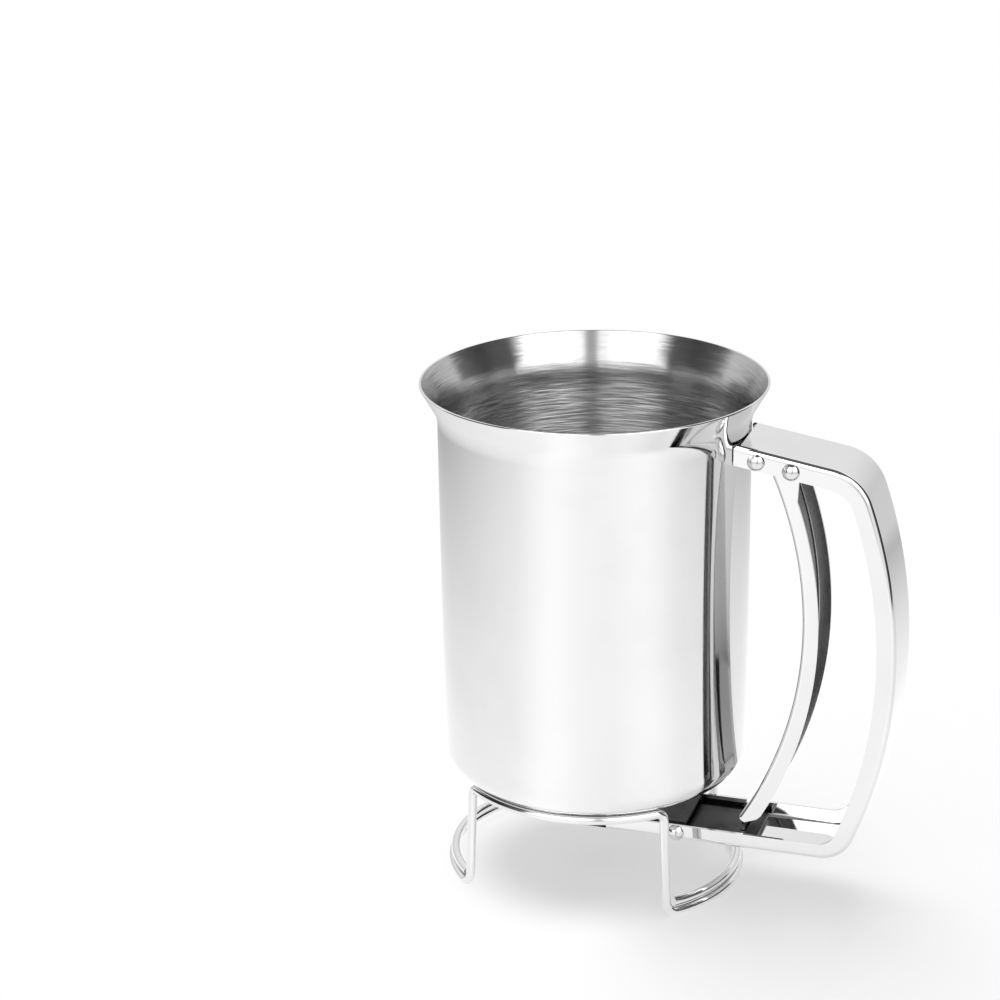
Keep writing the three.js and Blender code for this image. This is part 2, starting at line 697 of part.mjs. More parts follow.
function makeStandWire(facing, footHeight, inset) {
  const line = new StandLine(facing, footHeight, inset);
  const steps = line.points.length - 1;
  const section = new THREE.Shape(
    arcPoints(0, 0, standWire / 2, 0, 2 * Math.PI * (wireSides - 1) / wireSides, wireSides - 1),
  );
  const geometry = new THREE.ExtrudeGeometry(section, { steps, extrudePath: line, bevelEnabled: false });
  return solidOf(geometry);
}

function makeStandFront() {
  const wide = standFootRadius + standWire;
  const table = blockBetween([-wide, -wide, -standWire], [wide, wide, 0]);
  return makeStandWire(-Math.PI / 2, lowerFoot, 0).subtract(table);
}

function makeStandRear() {
  return makeStandWire(Math.PI / 2, upperFoot, standUpperInset);
}

// The least distance between turns of the coil, surface to surface
function leastCoilGap(line) {
  const samples = 400;
  const turnLength = 2 * Math.PI * line.coil;
  let least = Infinity;
  for (let i = 0; i <= samples; i += 1) {
    for (let j = i + 1; j <= samples; j += 1) {
      const a = line.length * i / samples;
      const b = line.length * j / samples;
      if (b - a > turnLength / 2) {
        const gap = line.getPoint(i / samples).distanceTo(line.getPoint(j / samples)) - springWire;
        least = Math.min(least, gap);
      }
    }
  }
  return least;
}

const polished = () => new THREE.MeshStandardMaterial({ color: 0xdfe1e3, roughness: 0.08, metalness: 1 });
const satin = () => new THREE.MeshStandardMaterial({ color: 0xc3c5c8, roughness: 0.32, metalness: 1 });
const blackened = () => new THREE.MeshStandardMaterial({ color: 0x545457, roughness: 0.35, metalness: 1 });
const springSteel = () => new THREE.MeshStandardMaterial({ color: 0x9a9ca0, roughness: 0.3, metalness: 1 });

function addPiece(group, name, solid, material) {
  const mesh = new THREE.Mesh(geometryOf(solid), material);
  mesh.name = name;
  group.add(mesh);
  console.log(`${name}: ${solid.numTri()} triangles`);
}

const spring = makeSpring();
console.log(`least gap between turns of the return spring: ${leastCoilGap(spring.line).toFixed(2)} mm`);

const stand = new THREE.Group();
addPiece(stand, 'stand_front_wire', makeStandFront(), polished());
addPiece(stand, 'stand_rear_wire', makeStandRear(), polished());

const dispenser = new THREE.Group();
addPiece(dispenser, 'cup_body', makeCup(), polished());
addPiece(dispenser, 'outlet_nozzle', makeOutlet(), satin());
addPiece(dispenser, 'handle_channel', makeHandle(), polished());
addPiece(dispenser, 'upper_bracket', makeUpperBracket(), satin());
addPiece(dispenser, 'base_bracket', makeBaseBracket(), blackened());
addPiece(dispenser, 'upper_bracket_rivet', makePin(upperRivet), polished());
addPiece(dispenser, 'lever_pivot_pin', makePin(pivot), polished());
addPiece(dispenser, 'base_rivet_left', makeLowerRivet(1), polished());
addPiece(dispenser, 'base_rivet_right', makeLowerRivet(-1), polished());
addPiece(dispenser, 'return_spring', spring.solid, springSteel());

const lever = new THREE.Group();
addPiece(lever, 'squeeze_lever', makeLever(), polished());

const slide = new THREE.Group();
addPiece(slide, 'slide_valve', makeSlide(), blackened());

// The origin is on the table under the middle of the whole outline, so the cup stands off to -X
const batterDispenser = new THREE.Group();
batterDispenser.add(stand, dispenser, lever, slide);
batterDispenser.position.x = (rimRadius - gripOut) / 2;
console.log(`pivot at ${(pivot.x + batterDispenser.position.x).toFixed(3)}, ${pivot.y.toFixed(3)} mm`);
const slideTravel = (pivot.y - tongueEnd) * squeezeAngle * degree;
console.log(`slide travel at ${squeezeAngle} degrees: ${slideTravel.toFixed(2)} mm`);

export default batterDispenser;
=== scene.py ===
import math

import bmesh
import bpy
from mathutils import Matrix, Vector


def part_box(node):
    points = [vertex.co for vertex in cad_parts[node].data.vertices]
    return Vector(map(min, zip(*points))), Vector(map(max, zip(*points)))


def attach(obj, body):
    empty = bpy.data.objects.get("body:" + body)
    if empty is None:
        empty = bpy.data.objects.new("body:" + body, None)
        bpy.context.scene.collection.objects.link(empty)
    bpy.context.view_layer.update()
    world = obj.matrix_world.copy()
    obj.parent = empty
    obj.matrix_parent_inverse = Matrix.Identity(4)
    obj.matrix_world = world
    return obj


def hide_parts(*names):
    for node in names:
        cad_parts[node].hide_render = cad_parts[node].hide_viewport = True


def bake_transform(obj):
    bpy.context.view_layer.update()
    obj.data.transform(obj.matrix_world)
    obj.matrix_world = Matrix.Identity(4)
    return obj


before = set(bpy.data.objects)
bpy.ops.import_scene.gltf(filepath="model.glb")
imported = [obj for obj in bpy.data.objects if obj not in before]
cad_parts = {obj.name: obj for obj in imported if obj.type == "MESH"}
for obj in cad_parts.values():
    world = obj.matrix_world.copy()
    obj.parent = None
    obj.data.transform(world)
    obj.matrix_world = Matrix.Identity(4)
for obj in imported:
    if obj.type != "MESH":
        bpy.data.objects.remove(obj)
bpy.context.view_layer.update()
print("frame loaded")

mm = 0.001                                      # the pieces' and the camera's settings are in mm and degrees
quarter = math.pi / 2
edgeWidth = 0.12                                # of the softened edges of cut sheet
lowCup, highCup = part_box("cup_body")
axisX = (lowCup[0] + highCup[0]) / 2            # the cup's upright axis
cupBase = lowCup[2]
rimZ = highCup[2]


# shared helpers: meshes, sweeps, cuts

def meshObject(name, verts, faces):
    mesh = bpy.data.meshes.new(name)
    mesh.from_pydata([tuple(v) for v in verts], [], faces)
    mesh.update()
    obj = bpy.data.objects.new(name, mesh)
    bpy.context.scene.collection.objects.link(obj)
    return obj


def bakeModifiers(obj):                         # the evaluated shape becomes the piece's own mesh
    graph = bpy.context.evaluated_depsgraph_get()
    mesh = bpy.data.meshes.new_from_object(obj.evaluated_get(graph))
    old = obj.data
    obj.modifiers.clear()
    obj.data = mesh
    mesh.name = obj.name
    bpy.data.meshes.remove(old)


def shade(obj, angle=32):                       # smooth, with edges sharper than angle kept
    obj.data.shade_smooth()
    obj.data.set_sharp_from_angle(angle=math.radians(angle))
    weigh = obj.modifiers.new("weigh", "WEIGHTED_NORMAL")
    weigh.keep_sharp = True
    weigh.weight = 100
    bakeModifiers(obj)


def cleaned(obj, gap=2e-6):                     # no double points, no slivers, faces outward
    bm = bmesh.new()
    bm.from_mesh(obj.data)
    bmesh.ops.remove_doubles(bm, verts=bm.verts, dist=gap)
    bmesh.ops.dissolve_degenerate(bm, edges=bm.edges, dist=gap)
    bmesh.ops.recalc_face_normals(bm, faces=bm.faces)
    bm.to_mesh(obj.data)
    bm.free()
    return obj


def cut(obj, cutter, operation="DIFFERENCE"):
    boolean = obj.modifiers.new("cut", "BOOLEAN")
    boolean.operation = operation
    boolean.solver = "EXACT"
    boolean.object = cutter
    bakeModifiers(obj)
    bpy.data.objects.remove(cutter)


def softenEdges(obj, angle=50):
    bevel = obj.modifiers.new("soften", "BEVEL")
    bevel.width = edgeWidth * mm
    bevel.segments = 2
    bevel.limit_method = "ANGLE"
    bevel.angle_limit = math.radians(angle)
    bakeModifiers(obj)


def arc(cx, cz, radius, start, end, steps):
    turns = [start + (end - start) * i / steps for i in range(steps + 1)]
    return [Vector((cx + radius * math.cos(a), cz + radius * math.sin(a))) for a in turns]


def line(x0, z0, x1, z1, steps):                # the points between its ends
    return [Vector((x0 + (x1 - x0) * i / steps, z0 + (z1 - z0) * i / steps)) for i in range(1, steps)]


def circle(cx, cz, radius, steps):
    return arc(cx, cz, radius, 0, 2 * math.pi * (steps - 1) / steps, steps - 1)


def prism(name, verts):                         # the outline at one end and then at the other
    n = len(verts) // 2
    faces = [list(range(n)), list(range(2 * n - 1, n - 1, -1))]
    faces += [[i, i + n, (i + 1) % n + n, (i + 1) % n] for i in range(n)]
    return cleaned(meshObject(name, verts, faces))


def prismAcross(name, outline, low, high):      # an X Z outline in mm from the cup's axis, made solid along Y
    return prism(name, [(axisX + p.x * mm, y * mm, p.y * mm) for y in (low, high) for p in outline])


def prismUp(name, outline, low, high):          # an X Y outline in mm from the cup's axis, made solid upwards
    return prism(name, [(axisX + p.x * mm, p.y * mm, z * mm) for z in (low, high) for p in outline])


def lathe(name, profile, steps, place, turnTo="Z"):   # profile of radius and height in mm, closed on itself
    verts, faces = [], []
    n = len(profile)
    for i in range(steps):
        angle = 2 * math.pi * i / steps
        for p in profile:
            r, h = p[0] * mm, p[1] * mm
            if turnTo == "Z":
                verts.append((place[0] + r * math.cos(angle), place[1] + r * math.sin(angle), place[2] + h))
            else:
                verts.append((place[0] + r * math.cos(angle), place[1] + h, place[2] + r * math.sin(angle)))
    for i in range(steps):
        j = (i + 1) % steps
        for k in range(n):
            m = (k + 1) % n
            if profile[k][0] == 0 and profile[m][0] == 0:
                continue
            faces.append([i * n + k, j * n + k, j * n + m, i * n + m])
    return cleaned(meshObject(name, verts, faces))


def sweep(name, stations, section):             # stations of place, along and depth, open to along's right
    rings = []
    for place, along, depth in stations:
        inward = Vector((along.y, -along.x))
        ring = []
        for across, deep in section(depth):
            p = place + inward * deep
            ring.append((axisX + p.x * mm, across * mm, p.y * mm))
        rings.append(ring)
    n = len(rings[0])
    verts = [v for ring in rings for v in ring]
    faces = []
    for r in range(len(rings) - 1):
        for k in range(n):
            m = (k + 1) % n
            faces.append([r * n + k, r * n + m, (r + 1) * n + m, (r + 1) * n + k])
    faces.append(list(range(n)))
    faces.append(list(range(len(verts) - 1, len(verts) - n - 1, -1)))
    return cleaned(meshObject(name, verts, faces))


def arcStations(centre, radius, start, end, depthStart, depthEnd, steps):
    way = 1 if end > start else -1
    made = []
    for i, place in enumerate(arc(centre.x, centre.y, radius, start, end, steps)):
        out = (place - centre).normalized()
        along = Vector((-out.y * way, out.x * way))
        made.append((place, along, depthStart + (depthEnd - depthStart) * i / steps))
    return made


def channelSection(width, bend, sheet, steps=7):     # a U with its web below, as a function of its depth
    edge = width / 2
    side = edge - bend

    def section(depth):
        points = [(-edge, depth)]
        points += [(p.x, p.y) for p in arc(-side, bend, bend, math.pi, math.pi + quarter, steps)]
        points += [(p.x, p.y) for p in arc(side, bend, bend, -quarter, 0, steps)]
        points += [(edge, depth), (edge - sheet, depth)]
        points += [(p.x, p.y) for p in arc(side, bend, bend - sheet, 0, -quarter, steps)]
        points += [(p.x, p.y) for p in arc(-side, bend, bend - sheet, math.pi + quarter, math.pi, steps)]
        points += [(-edge + sheet, depth)]
        return points

    return section


# camera, at the photograph's angle

camera = {
    "sensor": 36,
    "focal": 2.55476,        # of the frame's width
    "distance": 822.44,
    "azimuth": 18.77,
    "elevation": 19.99,
    "aside": -30.47,
    "height": 129.12,
    "roll": -0.99,
    "near": 50,
    "far": 20000,
}


def placeCamera():
    a = math.radians(camera["azimuth"])
    e = math.radians(camera["elevation"])
    roll = math.radians(camera["roll"])
    out = Vector((math.sin(a) * math.cos(e), -math.cos(a) * math.cos(e), math.sin(e)))
    level = Vector((math.cos(a), math.sin(a), 0))
    above = out.cross(level)
    right = level * math.cos(roll) + above * math.sin(roll)
    up = above * math.cos(roll) - level * math.sin(roll)
    place = level * camera["aside"] + Vector((0, 0, camera["height"])) + out * camera["distance"]
    place = place * mm + Vector((axisX, 0, 0))
    data = bpy.data.cameras.new("camera")
    data.sensor_width = camera["sensor"]
    data.sensor_fit = "HORIZONTAL"
    data.lens = camera["sensor"] * camera["focal"]
    data.clip_start = camera["near"] * mm
    data.clip_end = camera["far"] * mm
    obj = bpy.data.objects.new("camera", data)
    obj.matrix_world = Matrix((
        (right.x, up.x, out.x, place.x),
        (right.y, up.y, out.y, place.y),
        (right.z, up.z, out.z, place.z),
        (0, 0, 0, 1),
    ))
    bpy.context.scene.collection.objects.link(obj)
    bpy.context.scene.camera = obj


placeCamera()
print("camera placed")


# node groups shared by the materials

def link(tree, source, target):
    tree.links.new(source, target)


def newNode(tree, kind, **values):
    node = tree.nodes.new(kind)
    for key, value in values.items():
        setattr(node, key, value)
    return node


def feed(tree, value, target):                  # the value is a number or another node's socket
    if isinstance(value, (int, float)):
        target.default_value = value
    else:
        link(tree, value, target)


def groupOf(name, inputs, outputs, kind="ShaderNodeTree"):   # an empty group with its two ends
    tree = bpy.data.node_groups.new(name, kind)
    for way, sockets in (("INPUT", inputs), ("OUTPUT", outputs)):
        for socket, sort in sockets.items():
            tree.interface.new_socket(socket, in_out=way, socket_type="NodeSocket" + sort)
    return tree, newNode(tree, "NodeGroupInput"), newNode(tree, "NodeGroupOutput")


def mathNode(tree, operation, *values):
    node = newNode(tree, "ShaderNodeMath", operation=operation)
    for socket, value in zip(node.inputs, values):
        feed(tree, value, socket)
    return node.outputs[0]


def rampNode(tree, value, low, high, start=0.0, end=1.0, smooth=True):
    node = newNode(tree, "ShaderNodeMapRange")
    node.interpolation_type = "SMOOTHSTEP" if smooth else "LINEAR"
    for socket, number in zip(("From Min", "From Max", "To Min", "To Max"), (low, high, start, end)):
        node.inputs[socket].default_value = number
    link(tree, value, node.inputs["Value"])
    return node.outputs["Result"]


def mixNode(tree, factor, first, second):
    node = newNode(tree, "ShaderNodeMix", data_type="FLOAT")
    for i, value in ((0, factor), (2, first), (3, second)):
        feed(tree, value, node.inputs[i])
    return node.outputs[0]


def vectorNode(tree, operation, first, second=None):
    node = newNode(tree, "ShaderNodeVectorMath", operation=operation)
    link(tree, first, node.inputs[0])
    if second is not None:
        link(tree, second, node.inputs[1])
    return node


def noiseNode(tree, vector, scale, detail=2, rough=0.5):
    node = newNode(tree, "ShaderNodeTexNoise")
    node.inputs["Detail"].default_value = detail
    node.inputs["Roughness"].default_value = rough
    feed(tree, scale, node.inputs["Scale"])
    link(tree, vector, node.inputs["Vector"])
    return node.outputs["Fac"]


def stretched(tree, vector, scale, turn=(0, 0, 0)):   # coordinates drawn out, so that a noise becomes streaks
    node = newNode(tree, "ShaderNodeMapping")
    node.inputs["Scale"].default_value = scale
    node.inputs["Rotation"].default_value = turn
    link(tree, vector, node.inputs["Vector"])
    return node.outputs[0]


noiseMiddle = 0.5
marking = {
    "smearDetail": 5, "smearNoise": 0.6, "smearFrom": 0.42, "smearTo": 0.72,
    "hairGrain": (2600, 2600, 45), "hairTurns": ((0.3, 0.5, 0.2), (1.2, 0.1, 0.9), (0.4, 1.4, 2.1)),
    "hairFrom": 0.68, "hairTo": 0.76, "hairDepth": 0.02,
    "patchScale": 55, "patchFrom": 0.45, "patchTo": 0.65,
}
graining = {
    "coarseDetail": 3, "coarseNoise": 0.6, "coarseShare": 0.45,
    "fineDetail": 4, "fineNoise": 0.7, "fineScale": 2.7,
}


def handlingMarks():                            # smears from hands and cloths, and hairlines here and there
    v = marking
    tree, given, result = groupOf(
        "handling marks", {"Vector": "Vector", "Smear Scale": "Float", "Hairlines": "Float"},
        {"Smear": "Float", "Hairline": "Float"})
    vector = given.outputs["Vector"]
    broad = noiseNode(tree, vector, given.outputs["Smear Scale"], v["smearDetail"], v["smearNoise"])
    smear = rampNode(tree, broad, v["smearFrom"], v["smearTo"])
    lines = None
    for turn in v["hairTurns"]:
        fine = noiseNode(tree, stretched(tree, vector, v["hairGrain"], turn), 1)
        sparse = rampNode(tree, fine, v["hairFrom"], v["hairTo"])
        lines = sparse if lines is None else mathNode(tree, "MAXIMUM", lines, sparse)
    patches = rampNode(tree, noiseNode(tree, vector, v["patchScale"]), v["patchFrom"], v["patchTo"])
    hairline = mathNode(tree, "MULTIPLY", lines, patches)
    hairline = mathNode(tree, "MULTIPLY", hairline, given.outputs["Hairlines"])
    link(tree, smear, result.inputs["Smear"])
    link(tree, hairline, result.inputs["Hairline"])
    return tree


def grainLines():                               # left by brushing, rolling or drawing
    v = graining
    tree, given, result = groupOf(
        "grain lines", {"Vector": "Vector", "Contrast": "Float"}, {"Tone": "Float", "Height": "Float"})
    vector, share = given.outputs["Vector"], v["coarseShare"]
    coarse = noiseNode(tree, vector, 1, v["coarseDetail"], v["coarseNoise"])
    fine = noiseNode(tree, vector, v["fineScale"], v["fineDetail"], v["fineNoise"])
    both = mathNode(tree, "MULTIPLY_ADD", coarse, share, mathNode(tree, "MULTIPLY", fine, 1 - share))
    centred = mathNode(tree, "SUBTRACT", both, noiseMiddle)
    tone = mathNode(tree, "MULTIPLY_ADD", centred, given.outputs["Contrast"], 1)
    link(tree, tone, result.inputs["Tone"])
    link(tree, both, result.inputs["Height"])
    return tree


marksGroup = handlingMarks()
grainGroup = grainLines()


def groupNode(tree, group, vector, **values):
    node = newNode(tree, "ShaderNodeGroup")
    node.node_tree = group
    link(tree, vector, node.inputs["Vector"])
    for key, value in values.items():
        node.inputs[key].default_value = value
    return node


def emptyMaterial(name):
    material = bpy.data.materials.new(name)
    material.use_nodes = True
    tree = material.node_tree
    tree.nodes.clear()
    return material, tree, newNode(tree, "ShaderNodeOutputMaterial").inputs["Surface"]


# steels: lengths in metres, scales for each metre

polish = {
    "color": (0.67, 0.67, 0.67), "roughness": 0.03, "smearRough": 0.05, "hairRough": 0.16, "smearTone": 0.97,
    "smearScale": 34, "hairlines": 0.6, "waveScale": 30, "wave": 0.012,
}
wirePolish = {
    **polish, "color": (0.65, 0.65, 0.65), "roughness": 0.06,
    "grain": (900, 26), "contrast": 0.35, "lines": 0.02,
}
springWire = {
    **polish, "color": (0.42, 0.42, 0.425), "roughness": 0.2,
    "grain": (500, 20), "contrast": 0.5, "lines": 0.03,
}
brush = {
    "color": (0.47, 0.47, 0.47), "roughness": 0.22, "smearRough": 0.03, "hairRough": 0, "smearTone": 0.95,
    "smearScale": 26, "hairlines": 0, "grain": (80, 80, 2000), "contrast": 0.4, "lines": 0.0,
    "anisotropy": 1.0, "across": 0.25,
    "lean": 2.4, "leanGrain": (110, 110, 3200), "wallRough": 0.15,
    "flareLean": 0.5, "flareFrom": 0.022, "flareTo": 0.014,      # from below the rim
}
satin = {
    "color": (0.50, 0.50, 0.505), "roughness": 0.26, "smearRough": 0.1, "hairRough": 0.1, "smearTone": 0.9,
    "smearScale": 70, "hairlines": 0.8, "grain": (120, 2400, 2400), "contrast": 0.5, "lines": 0.04,
}
dull = {                     # sheet as it left the mill, where no wheel could polish it
    "color": (0.36, 0.36, 0.36), "roughness": 0.17, "smearRough": 0.08, "hairRough": 0.1, "smearTone": 0.85,
    "smearScale": 60, "hairlines": 0.8, "grain": (1500, 1500, 60), "contrast": 0.4, "lines": 0.03,
}
headPolish = {**polish, "color": (0.60, 0.60, 0.60), "roughness": 0.1, "wave": 0.02, "waveScale": 300}
# near-black: painted shade, standing in for the deep shade in the channel under the cup
paintedShade = {
    "color": (0.035, 0.035, 0.037), "roughness": 0.34, "smearRough": 0.14, "hairRough": 0.2, "smearTone": 0.6,
    "smearScale": 90, "hairlines": 1.0, "grain": (90, 1900, 1900), "contrast": 0.8, "lines": 0.04,
}


def wireCoordinates(tree, scales):              # from the wire's own coordinates, round and along it
    both = newNode(tree, "ShaderNodeCombineXYZ")
    for socket, key, scale in zip("XY", ("round", "along"), scales):
        attribute = newNode(tree, "ShaderNodeAttribute", attribute_name=key)
        link(tree, mathNode(tree, "MULTIPLY", attribute.outputs["Fac"], scale), both.inputs[socket])
    return both.outputs[0]


def leaningScratches(tree, coords, values, normal, rough):   # brush lines round the cup that lean its surface
    scratch = noiseNode(tree, stretched(tree, coords, values["leanGrain"]), 1)
    centred = mathNode(tree, "SUBTRACT", scratch, noiseMiddle)
    split = newNode(tree, "ShaderNodeSeparateXYZ")
    link(tree, coords, split.inputs[0])
    flare = rampNode(tree, split.outputs["Z"], rimZ - values["flareFrom"], rimZ - values["flareTo"])
    lean = mixNode(tree, flare, values["lean"], values["flareLean"])
    rough = mathNode(tree, "ADD", rough, mixNode(tree, flare, values["wallRough"], 0.0))
    up = newNode(tree, "ShaderNodeCombineXYZ")
    link(tree, mathNode(tree, "MULTIPLY", centred, lean), up.inputs["Z"])
    leant = vectorNode(tree, "ADD", normal, up.outputs[0])
    return vectorNode(tree, "NORMALIZE", leant.outputs[0]).outputs[0], rough


def steelMaterial(name, values, isWire=False):
    material, tree, surface = emptyMaterial(name)
    bsdf = newNode(tree, "ShaderNodeBsdfPrincipled")
    bsdf.inputs["Metallic"].default_value = 1
    bsdf.inputs["Anisotropic"].default_value = values.get("anisotropy", 0)
    bsdf.inputs["Anisotropic Rotation"].default_value = values.get("across", 0)
    link(tree, bsdf.outputs[0], surface)
    coords = newNode(tree, "ShaderNodeTexCoord").outputs["Object"]
    marks = groupNode(tree, marksGroup, coords,
                      **{"Smear Scale": values["smearScale"], "Hairlines": values["hairlines"]})
    smear, hairline = marks.outputs["Smear"], marks.outputs["Hairline"]
    smeared = values["roughness"] + values["smearRough"]
    rough = rampNode(tree, smear, 0, 1, values["roughness"], smeared, smooth=False)
    rough = mathNode(tree, "MULTIPLY_ADD", hairline, values["hairRough"], rough)
    tone = mixNode(tree, smear, 1.0, values["smearTone"])
    if "grain" in values:
        if isWire:
            vector = wireCoordinates(tree, values["grain"])
        else:
            vector = stretched(tree, coords, values["grain"])
        grain = groupNode(tree, grainGroup, vector, Contrast=values["contrast"])
        tone = mathNode(tree, "MULTIPLY", tone, grain.outputs["Tone"])
        height, strength = grain.outputs["Height"], values["lines"]
    else:                                       # a polished sheet's slight waves, cut by the hairlines
        wave = noiseNode(tree, coords, values["waveScale"], detail=1)
        height = mathNode(tree, "MULTIPLY_ADD", hairline, -marking["hairDepth"], wave)
        strength = values["wave"]
    tinted = newNode(tree, "ShaderNodeMix", data_type="RGBA", blend_type="MULTIPLY")
    tinted.inputs[0].default_value = 1
    tinted.inputs[6].default_value = (*values["color"], 1)      # a color mix has its colors at 6 and 7
    link(tree, tone, tinted.inputs[7])
    link(tree, tinted.outputs[2], bsdf.inputs["Base Color"])
    bump = newNode(tree, "ShaderNodeBump")
    bump.inputs["Strength"].default_value = strength
    bump.inputs["Distance"].default_value = mm
    link(tree, height, bump.inputs["Height"])
    normal = bump.outputs["Normal"]
    if "lean" in values:
        normal, rough = leaningScratches(tree, coords, values, normal, rough)
    link(tree, rough, bsdf.inputs["Roughness"])
    link(tree, normal, bsdf.inputs["Normal"])
    return material


polishedSteel = steelMaterial("polished steel", polish)
brushedSteel = steelMaterial("brushed steel inside the cup", brush)
satinSteel = steelMaterial("satin steel", satin)
dullSteel = steelMaterial("mill finish inside the lever", dull)
headSteel = steelMaterial("polished rivet heads", headPolish)
paintedShadeSteel = steelMaterial("blackened steel", paintedShade)
wireSteel = steelMaterial("bright drawn wire", wirePolish, True)
springSteel = steelMaterial("spring wire", springWire, True)
print("materials made")


def dress(obj, *materials):
    obj.data.materials.clear()
    for material in materials:
        obj.data.materials.append(material)


# cup

cup = {
    "radius": 50, "wall": 0.8, "corner": 6.8, "rimFlare": 5.7, "flareBend": 12, "flareSlope": 30, "outlet": 8,
    "turnSteps": 240, "arcSteps": 14, "lipSteps": 6, "baseSteps": 4, "wallSteps": 8,
    "lip": 0.6,              # height of the polished lip above the brushed inside
    "baseSlope": 0.05,       # least upward part of a normal on the inner base
    "sharpFrom": 50,
}


def makeCup():
    height = (rimZ - cupBase) / mm
    radius, wall, corner, bend = cup["radius"], cup["wall"], cup["corner"], cup["flareBend"]
    turn = math.radians(cup["flareSlope"])
    outward = Vector((math.cos(turn), -math.sin(turn)))
    along = Vector((math.sin(turn), math.cos(turn)))
    lipX, lipZ = -wall * math.cos(turn), wall * math.sin(turn)
    rim = Vector((radius + cup["rimFlare"], height - lipZ))
    flareOut = cup["rimFlare"] - bend * (1 - math.cos(turn))
    flareStart = rim.y - flareOut / math.tan(turn) - bend * math.sin(turn)
    flareX = radius + bend
    cornerX = radius - corner
    outlet, steps = cup["outlet"], cup["arcSteps"]
    outside = [Vector((outlet, 0))] + line(outlet, 0, cornerX, 0, cup["baseSteps"])
    outside += arc(cornerX, corner, corner, -quarter, 0, steps)
    outside += line(radius, corner, radius, flareStart, cup["wallSteps"])
    outside += arc(flareX, flareStart, bend, math.pi, math.pi - turn, steps)
    middle = rim + Vector((lipX, lipZ)) / 2
    lipRadius = wall / 2
    centre = middle - along * lipRadius
    lip = []
    for i in range(cup["lipSteps"] + 1):
        a = math.pi * i / cup["lipSteps"]
        lip.append(centre + outward * lipRadius * math.cos(a) + along * lipRadius * math.sin(a))
    inside = arc(flareX, flareStart, bend + wall, math.pi - turn, math.pi, steps)
    inside += line(radius - wall, flareStart, radius - wall, corner, cup["wallSteps"])
    inside += arc(cornerX, corner, corner - wall, 0, -quarter, steps)
    inside += line(cornerX, wall, outlet, wall, cup["baseSteps"]) + [Vector((outlet, wall))]
    profile = [(p.x, p.y) for p in outside + lip + inside]
    obj = lathe("cup_shell", profile, cup["turnSteps"], (axisX, 0, cupBase))
    obj.data.shade_smooth()
    dress(obj, polishedSteel, brushedSteel)
    for face in obj.data.polygons:                  # the inside is brushed
        c, n = face.center, face.normal
        r = math.hypot(c.x - axisX, c.y) / mm
        z = (c.z - cupBase) / mm
        towardAxis = n.x * (c.x - axisX) + n.y * c.y < 0
        if z < corner:
            isInside = n.z > cup["baseSlope"] or (towardAxis and r < radius - wall / 2)
        else:
            isInside = towardAxis and z < height - cup["lip"]
        face.material_index = int(isInside)
    shade(obj, cup["sharpFrom"])
    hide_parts("cup_body")
    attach(obj, "dispenser")


makeCup()
print("cup made")


# handle

handle = {
    "reach": (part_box("handle_channel")[1][0] - axisX) / mm,     # of the grip's back from the cup's axis
    "width": 26, "bend": 1.8, "sheet": 1, "gripBow": 15.3, "gripBelow": 0.6, "rootAt": 46,
    "armRootDrop": 14, "armSlope": 9.6, "upperCorner": 16, "lowerCorner": 12, "lowerDrop": 21.1,
    "upperDepth": 6.5, "gripDepth": 6, "lowerDepth": 5.4, "webFrom": 41, "webSetback": 1.9,
    "flangeCorner": 1.2, "flangeEnd": 7.3, "gap": 0.25, "outlet": 8.1, "overrun": 2, "noseRoom": 0.002,
    "armSteps": 6, "cornerSteps": 22, "gripSteps": 64, "endSteps": 8, "wallSteps": 720, "noseSteps": 48,
    "holeSteps": 64,
}
baseMm = cupBase / mm
lowerArmZ = baseMm - handle["lowerDrop"]
armRootZ = rimZ / mm - handle["armRootDrop"]
armSpan = armRootZ - lowerArmZ
gripRadius = (armSpan ** 2 / 4 + handle["gripBow"] ** 2) / (2 * handle["gripBow"])
gripMiddle = lowerArmZ + armSpan / 2 - handle["gripBelow"]
slopeTan = math.tan(math.radians(handle["armSlope"]))


def armTopAt(out):                              # height of the upper arm's top, out from the cup wall
    return armRootZ - out * slopeTan


def angleOf(start, end):
    return math.atan2(end.y - start.y, end.x - start.x)


